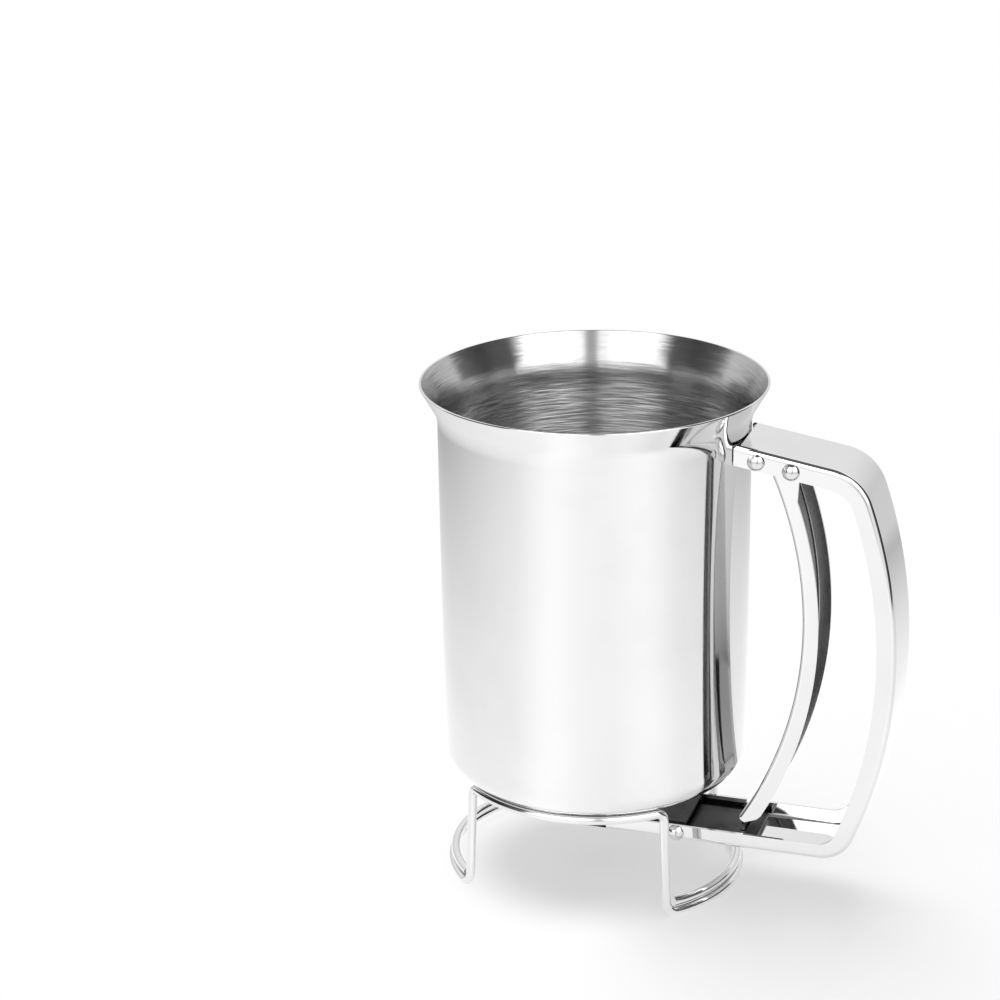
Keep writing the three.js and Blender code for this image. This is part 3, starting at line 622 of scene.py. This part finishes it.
def handleStations():
    h = handle
    slope = math.radians(h["armSlope"])
    along = Vector((math.cos(slope), -math.sin(slope)))
    inward = Vector((-math.sin(slope), -math.cos(slope)))
    root = Vector((h["rootAt"], armTopAt(h["rootAt"] - cup["radius"])))
    gripCentre = Vector((h["reach"] - gripRadius, gripMiddle))
    start = root + inward * h["upperCorner"] - gripCentre
    reach = gripRadius - h["upperCorner"]
    half = start.dot(along)
    travel = -half + math.sqrt(half ** 2 - start.length_squared + reach ** 2)
    upperCentre = start + along * travel + gripCentre
    lowerCentre = Vector((0, lowerArmZ + h["lowerCorner"]))
    lowerReach = gripRadius - h["lowerCorner"]
    lowerCentre.x = gripCentre.x + math.sqrt(lowerReach ** 2 - (lowerCentre.y - gripCentre.y) ** 2)
    upperTurn = angleOf(gripCentre, upperCentre)
    lowerTurn = angleOf(gripCentre, lowerCentre)
    armEnd = upperCentre - inward * h["upperCorner"]
    stations = [(root.lerp(armEnd, i / h["armSteps"]), along, h["upperDepth"]) for i in range(h["armSteps"])]
    stations += arcStations(upperCentre, h["upperCorner"], quarter - slope, upperTurn,
                            h["upperDepth"], h["gripDepth"], h["cornerSteps"])
    stations += arcStations(gripCentre, gripRadius, upperTurn, lowerTurn,
                            h["gripDepth"], h["gripDepth"], h["gripSteps"])[1:]
    stations += arcStations(lowerCentre, h["lowerCorner"], lowerTurn, -quarter,
                            h["gripDepth"], h["lowerDepth"], h["cornerSteps"])[1:]
    noseX = -h["width"] / 2 - h["overrun"]
    for i in range(1, h["endSteps"] + 1):
        x = lowerCentre.x + (noseX - lowerCentre.x) * i / h["endSteps"]
        stations.append((Vector((x, lowerArmZ)), Vector((-1, 0)), h["lowerDepth"]))
    return stations


def boxBetween(name, low, high):
    return prismUp(name, [Vector((low[0], low[1])), Vector((high[0], low[1])),
                          Vector((high[0], high[1])), Vector((low[0], high[1]))], low[2], high[2])


def makeHandle():
    h = handle
    half = h["width"] / 2
    over = h["overrun"]
    obj = sweep("handle_shell", handleStations(), channelSection(h["width"], h["bend"], h["sheet"]))
    wallRadius = cup["radius"] + h["gap"]
    cut(obj, prismUp("wall", circle(0, 0, wallRadius, h["wallSteps"]),
                     lowerArmZ + h["lowerDepth"] + over, rimZ / mm + over))
    flangeX = math.sqrt(wallRadius ** 2 - half ** 2)
    inner = half - h["sheet"]
    cut(obj, boxBetween("web", (h["webFrom"], -inner, armRootZ - h["upperDepth"] / 2),
                        (flangeX + h["webSetback"], inner, armRootZ + over * 2)))
    flangeZ = armTopAt(flangeX - cup["radius"])
    corner = [Vector((flangeX - over, flangeZ - h["flangeCorner"] - over)),
              Vector((flangeX + h["flangeCorner"] + over, flangeZ + over)),
              Vector((flangeX - over, flangeZ + over))]
    cut(obj, prismAcross("corner", corner, -2 * half, 2 * half))
    cut(obj, boxBetween("flange", (-2 * half, -2 * half, lowerArmZ + h["sheet"]),
                        (h["flangeEnd"], 2 * half, lowerArmZ + h["lowerDepth"] + over)))
    side, end = half + h["noseRoom"], h["reach"] + over
    nose = arc(0, 0, side, quarter, 3 * quarter, h["noseSteps"]) + [Vector((end, -side)), Vector((end, side))]
    cut(obj, prismUp("nose", nose, lowerArmZ - over, rimZ / mm), "INTERSECT")
    cut(obj, prismUp("hole", circle(0, 0, h["outlet"], h["holeSteps"]),
                     lowerArmZ - over, lowerArmZ + h["sheet"] + over))
    cleaned(obj)
    softenEdges(obj)
    dress(obj, polishedSteel)
    shade(obj)
    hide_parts("handle_channel")
    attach(obj, "dispenser")


makeHandle()
print("handle made")


# squeeze lever

lever = {
    "side": 1, "bend": 1.6, "sheet": 1, "radius": 127.8, "topAside": 6.7, "topBelow": 1.9,
    "footOut": 1.4, "footHeight": 10.9, "topDepth": 4.8, "footDepth": 5.7, "footCut": 4, "footSlope": 0.8,
    "ear": 2.7, "earFrom": 120, "earTo": -30, "earFall": 4, "pivotOut": 16.6, "pivotInset": 4.1, "shank": 1.6,
    "tongue": 10, "tongueLap": 1, "tongueInset": 0.003, "blankDepth": 16, "blankPast": 6, "over": 1,
    "dullFrom": 0.3,         # least inward part of a dull face's normal
    "steps": 80, "earSteps": 20, "edgeSteps": 70, "tongueSteps": 8, "pinSteps": 32,
}
pivot = Vector((cup["radius"] + lever["pivotOut"], armTopAt(lever["pivotOut"]) - lever["pivotInset"]))
slideBottom = lowerArmZ + handle["sheet"] + handle["gap"]


def leverArc():
    top = Vector((pivot.x - lever["topAside"], pivot.y - lever["topBelow"]))
    foot = Vector((cup["radius"] + lever["footOut"], baseMm - lever["footHeight"]))
    chord = top - foot
    sag = math.sqrt(lever["radius"] ** 2 - chord.length_squared / 4)
    centre = (top + foot) / 2 - Vector((chord.y, -chord.x)).normalized() * sag
    return top, foot, centre


def makeLever():
    v = lever
    top, foot, centre = leverArc()
    topTurn, footTurn = angleOf(centre, top), angleOf(centre, foot)
    width = handle["width"] - 2 * (v["sheet"] + v["side"])
    half = width / 2
    past = v["blankPast"] / v["radius"]
    stations = arcStations(centre, v["radius"], footTurn - past, topTurn + past,
                           v["blankDepth"], v["blankDepth"], v["steps"])
    obj = sweep("lever_shell", stations, channelSection(width, v["bend"], v["sheet"]))

    def onArc(radius, angle):
        return Vector((centre.x + radius * math.cos(angle), centre.y + radius * math.sin(angle)))

    outline = arc(centre.x, centre.y, v["radius"] - v["over"], footTurn, topTurn, v["steps"])
    outline += [onArc(v["radius"] + v["bend"], topTurn)]
    outline += arc(pivot.x, pivot.y, v["ear"],
                   math.radians(v["earFrom"]), math.radians(v["earTo"]), v["earSteps"])
    lowTurn = topTurn - v["earFall"] * v["ear"] / v["radius"]
    for i in range(v["edgeSteps"] + 1):
        angle = lowTurn + (footTurn - lowTurn) * i / v["edgeSteps"]
        share = (topTurn - angle) / (topTurn - footTurn)
        depth = v["topDepth"] + (v["footDepth"] - v["topDepth"]) * share
        lift = (angle - footTurn) * v["radius"]
        if lift < v["footCut"]:
            depth = min(depth, v["footDepth"] - (v["footCut"] - lift) * v["footSlope"])
        outline.append(onArc(v["radius"] + depth, angle))
    ends = (-half - v["over"], half + v["over"])
    cut(obj, prismAcross("outline", outline, *ends), "INTERSECT")
    cut(obj, prismAcross("pin", circle(pivot.x, pivot.y, v["shank"], v["pinSteps"]), *ends))

    near, far = foot.x, foot.x + v["sheet"]
    tip = pivot.y - math.sqrt((pivot.y - slideBottom) ** 2 - (pivot.x - foot.x) ** 2)
    root = foot.y - v["tongueLap"]
    highTurn = footTurn + (v["footDepth"] + v["footCut"]) / v["radius"]
    lowRadius, highRadius = v["radius"] + v["tongueInset"], v["radius"] + v["sheet"] - v["tongueInset"]
    strip = arc(centre.x, centre.y, lowRadius, highTurn, footTurn, v["tongueSteps"])
    strip += [Vector((near, root)), Vector((near, tip)), Vector((far, tip)), Vector((far, root))]
    strip += arc(centre.x, centre.y, highRadius, footTurn, highTurn, v["tongueSteps"])
    cut(obj, prismAcross("tongue", strip, -v["tongue"] / 2, v["tongue"] / 2), "UNION")
    cleaned(obj)
    softenEdges(obj)
    dress(obj, polishedSteel, dullSteel)
    for face in obj.data.polygons:                  # inside the channel and under its web the sheet is dull
        c = face.center
        depth = math.hypot((c.x - axisX) / mm - centre.x, c.z / mm - centre.y) - v["radius"]
        isBetween = abs(c.y) / mm < half - v["sheet"] / 2
        facesIn = face.normal.y * c.y < -v["dullFrom"] * abs(c.y)
        isWeb = abs(depth - v["sheet"]) < v["sheet"] / 2
        face.material_index = int(isBetween and (facesIn or isWeb))
    shade(obj)
    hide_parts("squeeze_lever")
    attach(obj, "lever")


makeLever()
print("lever made")


# stand wires and spring, tubes along points

def tubeTree():                                 # a round tube along a curve, as a node tree
    tree, given, result = groupOf(
        "wire tube", {"Geometry": "Geometry", "Radius": "Float", "Sides": "Int", "Material": "Material"},
        {"Geometry": "Geometry"}, "GeometryNodeTree")
    ring = newNode(tree, "GeometryNodeCurvePrimitiveCircle")
    toMesh = newNode(tree, "GeometryNodeCurveToMesh")
    toMesh.inputs["Fill Caps"].default_value = True
    smooth = newNode(tree, "GeometryNodeSetShadeSmooth")
    real = newNode(tree, "GeometryNodeRealizeInstances")
    paint = newNode(tree, "GeometryNodeSetMaterial")
    link(tree, given.outputs["Radius"], ring.inputs["Radius"])
    link(tree, given.outputs["Sides"], ring.inputs["Resolution"])
    for curve, socket, name, output in ((given.outputs["Geometry"], "Curve", "along", "Length"),
                                        (ring.outputs["Curve"], "Profile Curve", "round", "Factor")):
        place = newNode(tree, "GeometryNodeSplineParameter")
        store = newNode(tree, "GeometryNodeStoreNamedAttribute", data_type="FLOAT", domain="POINT")
        store.inputs["Name"].default_value = name
        link(tree, curve, store.inputs["Geometry"])
        link(tree, place.outputs[output], store.inputs["Value"])
        link(tree, store.outputs["Geometry"], toMesh.inputs[socket])
    link(tree, toMesh.outputs["Mesh"], smooth.inputs["Geometry"])
    link(tree, smooth.outputs["Geometry"], real.inputs["Geometry"])
    link(tree, real.outputs["Geometry"], paint.inputs["Geometry"])
    link(tree, given.outputs["Material"], paint.inputs["Material"])
    link(tree, paint.outputs["Geometry"], result.inputs["Geometry"])
    return tree


wireTree = tubeTree()


def tube(name, points, radius, sides, material):
    curve = bpy.data.curves.new(name, "CURVE")
    curve.dimensions = "3D"
    spline = curve.splines.new("POLY")
    spline.points.add(len(points) - 1)
    for point, p in zip(spline.points, points):
        point.co = (axisX + p[0] * mm, p[1] * mm, p[2] * mm, 1)
    obj = bpy.data.objects.new(name + "_line", curve)
    bpy.context.scene.collection.objects.link(obj)
    modifier = obj.modifiers.new("tube", "NODES")
    modifier.node_group = wireTree
    sockets = {s.name: s.identifier for s in wireTree.interface.items_tree if s.in_out == "INPUT"}
    modifier[sockets["Radius"]] = radius * mm
    modifier[sockets["Sides"]] = sides
    modifier[sockets["Material"]] = material
    graph = bpy.context.evaluated_depsgraph_get()
    mesh = bpy.data.meshes.new_from_object(obj.evaluated_get(graph))
    bpy.data.objects.remove(obj)
    made = bpy.data.objects.new(name, mesh)
    bpy.context.scene.collection.objects.link(made)
    return made


stand = {
    "wire": 3, "ringHeight": 36.9, "ringRadius": 45.6, "legRadius": 47.4, "footRadius": 48.7,
    "inset": 1.0, "topBend": 2.9, "footBend": 4.2, "legAngle": 45, "tail": 4.2, "flat": 0.15, "gap": 0.25,
    "bendSteps": 12, "legSteps": 8, "footSteps": 24, "ringSteps": 48, "sides": 24, "sharpFrom": 60,
}


def standPoints(facing, footHeight, inset):     # laid out flat first, then bent round the cup's axis
    v = stand
    legAt = v["ringRadius"] * math.radians(90 - v["legAngle"])
    footEnd = v["ringRadius"] * math.radians(90 + v["legAngle"] - v["tail"])
    topBend, bend, ring = v["topBend"], v["footBend"], v["ringHeight"]
    half = arc(legAt - topBend, ring - topBend, topBend, quarter, 0, v["bendSteps"])
    half += line(legAt, ring - topBend, legAt, footHeight + bend, v["legSteps"])
    half += arc(legAt + bend, footHeight + bend, bend, math.pi, math.pi + quarter, v["bendSteps"])
    half += line(legAt + bend, footHeight, footEnd, footHeight, v["footSteps"])
    half += [Vector((footEnd, footHeight))]
    flat = [Vector((-p.x, p.y)) for p in reversed(half)]
    flat += line(topBend - legAt, ring, legAt - topBend, ring, v["ringSteps"])
    flat += half
    points = []
    for p in flat:
        turn = p.x / v["ringRadius"]
        fall = (ring - p.y) / (ring - footHeight)
        legs = v["ringRadius"] + (v["legRadius"] - v["ringRadius"]) * fall
        past = max(abs(math.degrees(turn)) - (90 - v["legAngle"]), 0) / v["legAngle"]
        bulge = (v["footRadius"] - v["legRadius"]) * math.sin(past * quarter)
        radius = legs + (bulge - inset) * fall
        points.append((radius * math.cos(facing + turn), radius * math.sin(facing + turn), p.y))
    return points


def makeStand():
    v = stand
    low = v["wire"] / 2 - v["flat"]
    high = low + math.sqrt((v["wire"] + v["gap"]) ** 2 - v["inset"] ** 2)
    for name, node, facing, height, inset in (
        ("front_wire_rod", "stand_front_wire", -quarter, low, 0),
        ("rear_wire_rod", "stand_rear_wire", quarter, high, v["inset"]),
    ):
        obj = tube(name, standPoints(facing, height, inset), v["wire"] / 2, v["sides"], wireSteel)
        if height == low:                       # worn flat where it stands on the table
            for vert in obj.data.vertices:
                vert.co.z = max(vert.co.z, 0)
        shade(obj, v["sharpFrom"])
        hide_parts(node)
        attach(obj, "stand")


makeStand()
print("stand made")


# return spring

spring = {
    "wire": 0.9, "room": 0.22, "shank": 1.5, "pitch": 1.45, "turns": 5, "leverLeg": 14, "armLeg": 6.5,
    "turnSteps": 28, "legSteps": 6, "sides": 12, "sharpFrom": 60,
    "bendFrom": 2.9, "bendTo": 7,                   # below the pivot
}


def springPoints():
    v = spring
    coil = v["shank"] + v["room"] + v["wire"] / 2
    gap = handle["gap"]
    _, _, centre = leverArc()
    reach = math.hypot(coil, v["leverLeg"])
    apart = (pivot - centre).length
    bears = lever["radius"] + lever["sheet"] + v["wire"] / 2 + gap
    opening = math.acos((bears ** 2 - apart ** 2 - reach ** 2) / (2 * reach * apart))
    start = angleOf(centre, pivot) - opening - math.atan2(v["leverLeg"], coil) + 2 * math.pi
    slope = math.radians(handle["armSlope"])
    room = lever["pivotInset"] * math.cos(slope) - handle["sheet"] - v["wire"] / 2 - gap
    lift = math.atan2(v["armLeg"], coil) - math.acos(room / math.hypot(coil, v["armLeg"]))
    turn = v["turns"] * 2 * math.pi + start - (quarter - slope + lift)
    span = v["pitch"] * turn / (2 * math.pi)
    points = []
    steps = int(turn / (2 * math.pi) * v["turnSteps"])
    for i in range(-v["legSteps"], steps + v["legSteps"] + 1):
        held = min(max(i / steps, 0), 1) * turn
        angle = start - held
        past = 0
        if i < 0:
            past = v["leverLeg"] * i / v["legSteps"]
        if i > steps:
            past = v["armLeg"] * (i - steps) / v["legSteps"]
        points.append((pivot.x + coil * math.cos(angle) + past * math.sin(angle),
                       span * (held / turn - 0.5),
                       pivot.y + coil * math.sin(angle) - past * math.cos(angle)))
    return points


springObj = tube("spring_coil", springPoints(), spring["wire"] / 2, spring["sides"], springSteel)
shade(springObj, spring["sharpFrom"])
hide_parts("return_spring")
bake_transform(springObj)
print("spring made")


# rivets and pivot pin

rivet = {
    "head": 2.75, "rise": 1.5, "shank": 1.5, "tail": 0.3, "upperOut": 5.6, "upperInset": 3.75, "lowerOut": 31,
    "domeSteps": 14, "turnSteps": 48, "sharpFrom": 40,
}


def headProfile(seat, sign):                    # from the axis at the top of the dome out to the seat
    v = rivet
    ball = (v["head"] ** 2 + v["rise"] ** 2) / (2 * v["rise"])
    turn = math.asin(v["head"] / ball)
    dome = []
    for i in range(v["domeSteps"] + 1):
        a = turn * i / v["domeSteps"]
        dome.append((ball * math.sin(a), sign * (seat + v["rise"] - ball + ball * math.cos(a))))
    return dome


def makeRivets():
    v = rivet
    seat = handle["width"] / 2 + handle["gap"]
    tail = handle["width"] / 2 - 2 * handle["sheet"] - handle["gap"] - v["tail"]
    upper = (cup["radius"] + v["upperOut"], armTopAt(v["upperOut"]) - v["upperInset"])
    lower = (v["lowerOut"], lowerArmZ + handle["lowerDepth"] / 2)
    across = headProfile(seat, 1) + [(v["shank"], seat), (v["shank"], -seat)] + headProfile(seat, -1)[::-1]
    left = headProfile(seat, 1) + [(v["shank"], seat), (v["shank"], tail), (0, tail)]
    right = [(r, -h) for r, h in left]
    for name, node, place, profile in (
        ("upper_rivet_steel", "upper_bracket_rivet", upper, across),
        ("pivot_pin_steel", "lever_pivot_pin", (pivot.x, pivot.y), across),
        ("left_rivet_steel", "base_rivet_left", lower, left),
        ("right_rivet_steel", "base_rivet_right", lower, right),
    ):
        obj = lathe(name, profile, v["turnSteps"], (axisX + place[0] * mm, 0, place[1] * mm), "Y")
        dress(obj, headSteel)
        shade(obj, v["sharpFrom"])
        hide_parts(node)
        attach(obj, "dispenser")


makeRivets()
print("rivets made")


# carried nodes

# the base bracket and the slide take the near-black painted shade of the channel under the cup
for node, steel in (("outlet_nozzle", satinSteel), ("upper_bracket", satinSteel),
                    ("base_bracket", paintedShadeSteel), ("slide_valve", paintedShadeSteel)):
    dress(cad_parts[node], steel)
print("carried nodes dressed")


# floor, world and lamp, in metres and degrees

studio = {
    "sectors": (             # degrees from straight behind round to the right, brightness, rise with height
        (-180, -175, 0.6, 0.8),      # gap beside the lens
        (-175, -165, 0.95, 3.2),
        (-165, -121, 1.1, 4.0),      # left softbox
        (-121, -101, 0.13, 0.5),
        (-101, -68, 0.035, 0.5),
        (-68, 66, 0.80, 0.9),        # backdrop
        (66, 98, 0.035, 0.5),
        (98, 121, 0.13, 0.5),
        (121, 166, 1.1, 4.0),        # right softbox
        (166, 175, 0.98, 3.2),
        (175, 180, 0.6, 0.8),
    ),
    "edge": 3,               # degrees over which a sector fades into the next
    "top": 0.15, "topFrom": 50, "topTo": 62,
    "diffuse": 0.55,
}
# near, fall, edge and the band towards the softboxes set the floor's painted light and shade, seen only in
# reflections
floor = {
    "size": 6, "color": 0.62, "glow": 0.39, "near": 1.34, "fall": 0.89, "fallFrom": 0.06, "fallTo": 0.51,
    "edgeFrom": 0.48, "edgeTo": 0.62, "bandLow": 118, "bandHigh": 176, "paintedSoftboxLight": 0.14,
    "openFrom": 0.2, "openTo": 0.5, "frontFrom": 0.025, "frontTo": 0.056,   # the shadow's ends, from the axis
    "shadowTurn": 100, "leeFrom": 0.5, "leeTo": 0.95,                       # the way in which it falls
}
lamp = {"size": 0.9, "height": 1.3, "behind": 0.35, "watts": 9}


def studioRingGroup():                          # the studio's brightness round the object, from a direction
    tree, given, result = groupOf(
        "studio ring", {"Vector": "Vector"}, {"Brightness": "Float", "Rise": "Float", "Turn": "Float"})
    turned = newNode(tree, "ShaderNodeVectorRotate", rotation_type="Z_AXIS")
    turned.inputs["Angle"].default_value = -math.radians(camera["azimuth"])
    split = newNode(tree, "ShaderNodeSeparateXYZ")
    link(tree, given.outputs["Vector"], turned.inputs["Vector"])
    link(tree, turned.outputs[0], split.inputs[0])
    turn = mathNode(tree, "ARCTAN2", split.outputs["X"], split.outputs["Y"])
    share = rampNode(tree, turn, -math.pi, math.pi, smooth=False)
    ramp = newNode(tree, "ShaderNodeValToRGB")
    stops = ramp.color_ramp.elements
    sectors = studio["sectors"]
    for i, end in ((0, sectors[0]), (1, sectors[-1])):
        stops[i].position = i
        stops[i].color = (end[2], end[3], 0, 1)
    inset = studio["edge"] / 2
    for low, high, bright, rise in sectors:
        for side in (low + inset, high - inset):
            if abs(side) < 180 - inset:         # the two outermost stops are there already
                stop = stops.new((side + 180) / 360)
                stop.color = (bright, rise, 0, 1)
    link(tree, share, ramp.inputs["Fac"])
    both = newNode(tree, "ShaderNodeSeparateColor")
    link(tree, ramp.outputs["Color"], both.inputs[0])
    link(tree, both.outputs[0], result.inputs["Brightness"])
    link(tree, both.outputs[1], result.inputs["Rise"])
    link(tree, turn, result.inputs["Turn"])
    return tree


studioRing = studioRingGroup()


def nearness(tree, turn):                       # 1 where the turn is zero and 0 on the far side
    return mathNode(tree, "MULTIPLY_ADD", mathNode(tree, "COSINE", turn), 0.5, 0.5)


def makeFloor():
    s = floor["size"] / 2
    obj = meshObject("floor", [(-s, -s, 0), (s, -s, 0), (s, s, 0), (-s, s, 0)], [[0, 1, 2, 3]])
    material, tree, surface = emptyMaterial("floor white")
    matt = newNode(tree, "ShaderNodeBsdfDiffuse")
    glow = newNode(tree, "ShaderNodeEmission")
    path = newNode(tree, "ShaderNodeLightPath")
    coords = newNode(tree, "ShaderNodeTexCoord")
    centred = vectorNode(tree, "SUBTRACT", coords.outputs["Object"])
    centred.inputs[1].default_value = (axisX, 0, 0)
    ring = groupNode(tree, studioRing, centred.outputs[0])
    turn = ring.outputs["Turn"]
    # seen only in reflections, the floor glows in a painted pattern: painted light near the object and
    # towards the two softboxes, dimmer far behind, and past its edge the studio ring's bright and dark
    # sectors
    away = vectorNode(tree, "LENGTH", centred.outputs[0]).outputs["Value"]
    fall = rampNode(tree, away, floor["fallFrom"], floor["fallTo"], smooth=False)
    near = mathNode(tree, "MULTIPLY", fall, nearness(tree, turn))
    near = mathNode(tree, "MULTIPLY", near, -floor["fall"])
    near = mathNode(tree, "ADD", near, floor["near"])
    middle = math.radians((floor["bandLow"] + floor["bandHigh"]) / 2)
    reach = math.radians(floor["bandHigh"] - floor["bandLow"]) / 2
    aside = mathNode(tree, "SUBTRACT", mathNode(tree, "ABSOLUTE", turn), middle)
    paintedSoftboxLight = rampNode(tree, mathNode(tree, "ABSOLUTE", aside), 0, reach, floor["paintedSoftboxLight"], 0)
    near = mathNode(tree, "ADD", near, paintedSoftboxLight)    # painted light: brighter towards the two softboxes
    edge = rampNode(tree, away, floor["edgeFrom"], floor["edgeTo"])
    mirrored = mixNode(tree, edge, near, ring.outputs["Brightness"])
    lee = nearness(tree, mathNode(tree, "SUBTRACT", turn, math.radians(floor["shadowTurn"])))
    lee = rampNode(tree, lee, floor["leeFrom"], floor["leeTo"])             # 1 where the shadow falls
    front = rampNode(tree, away, floor["frontFrom"], floor["frontTo"])
    plain = mixNode(tree, lee, front, rampNode(tree, away, floor["openFrom"], floor["openTo"]))
    bright = mixNode(tree, path.outputs["Is Glossy Ray"], 1.0, mirrored)
    color = mathNode(tree, "MULTIPLY", mixNode(tree, plain, floor["color"], 0.0), bright)
    link(tree, color, matt.inputs["Color"])
    shown = mathNode(tree, "MAXIMUM", path.outputs["Is Camera Ray"], path.outputs["Is Glossy Ray"])
    shown = mathNode(tree, "MULTIPLY", shown, mixNode(tree, plain, floor["glow"], 1.0))
    strength = mathNode(tree, "MULTIPLY", shown, bright)
    link(tree, strength, glow.inputs["Strength"])
    both = newNode(tree, "ShaderNodeAddShader")
    link(tree, matt.outputs[0], both.inputs[0])
    link(tree, glow.outputs[0], both.inputs[1])
    link(tree, both.outputs[0], surface)
    dress(obj, material)


def makeWorld():
    world = bpy.data.worlds.new("studio")
    bpy.context.scene.world = world
    world.use_nodes = True
    tree = world.node_tree
    background = tree.nodes["Background"]
    background.inputs["Color"].default_value = (1, 1, 1, 1)
    path = newNode(tree, "ShaderNodeLightPath")
    coords = newNode(tree, "ShaderNodeTexCoord")
    ring = groupNode(tree, studioRing, coords.outputs["Generated"])
    split = newNode(tree, "ShaderNodeSeparateXYZ")
    link(tree, coords.outputs["Generated"], split.inputs[0])
    top = rampNode(tree, split.outputs["Z"], math.sin(math.radians(studio["topFrom"])),
                   math.sin(math.radians(studio["topTo"])))
    above = mathNode(tree, "MAXIMUM", split.outputs["Z"], 0.0)
    rise = mathNode(tree, "MULTIPLY_ADD", above, ring.outputs["Rise"], 1.0)
    walls = mathNode(tree, "MULTIPLY", ring.outputs["Brightness"], rise)
    mirrored = mixNode(tree, top, walls, studio["top"])
    strength = mixNode(tree, path.outputs["Is Glossy Ray"], studio["diffuse"], mirrored)
    strength = mixNode(tree, path.outputs["Is Camera Ray"], strength, 1.0)
    link(tree, strength, background.inputs["Strength"])


def makeLamp():
    data = bpy.data.lights.new("overhead softbox", "AREA")
    data.shape = "SQUARE"
    data.size = lamp["size"]
    data.energy = lamp["watts"]
    obj = bpy.data.objects.new("overhead softbox", data)
    a = math.radians(camera["azimuth"])
    place = Vector((-math.sin(a) * lamp["behind"], math.cos(a) * lamp["behind"], lamp["height"]))
    obj.location = place
    obj.rotation_euler = place.to_track_quat("Z", "Y").to_euler()
    obj.visible_glossy = False                  # the world's pattern is what the steel mirrors
    bpy.context.scene.collection.objects.link(obj)


makeFloor()
makeWorld()
makeLamp()
print("studio made")

bpy.context.scene.view_settings.view_transform = "Standard"
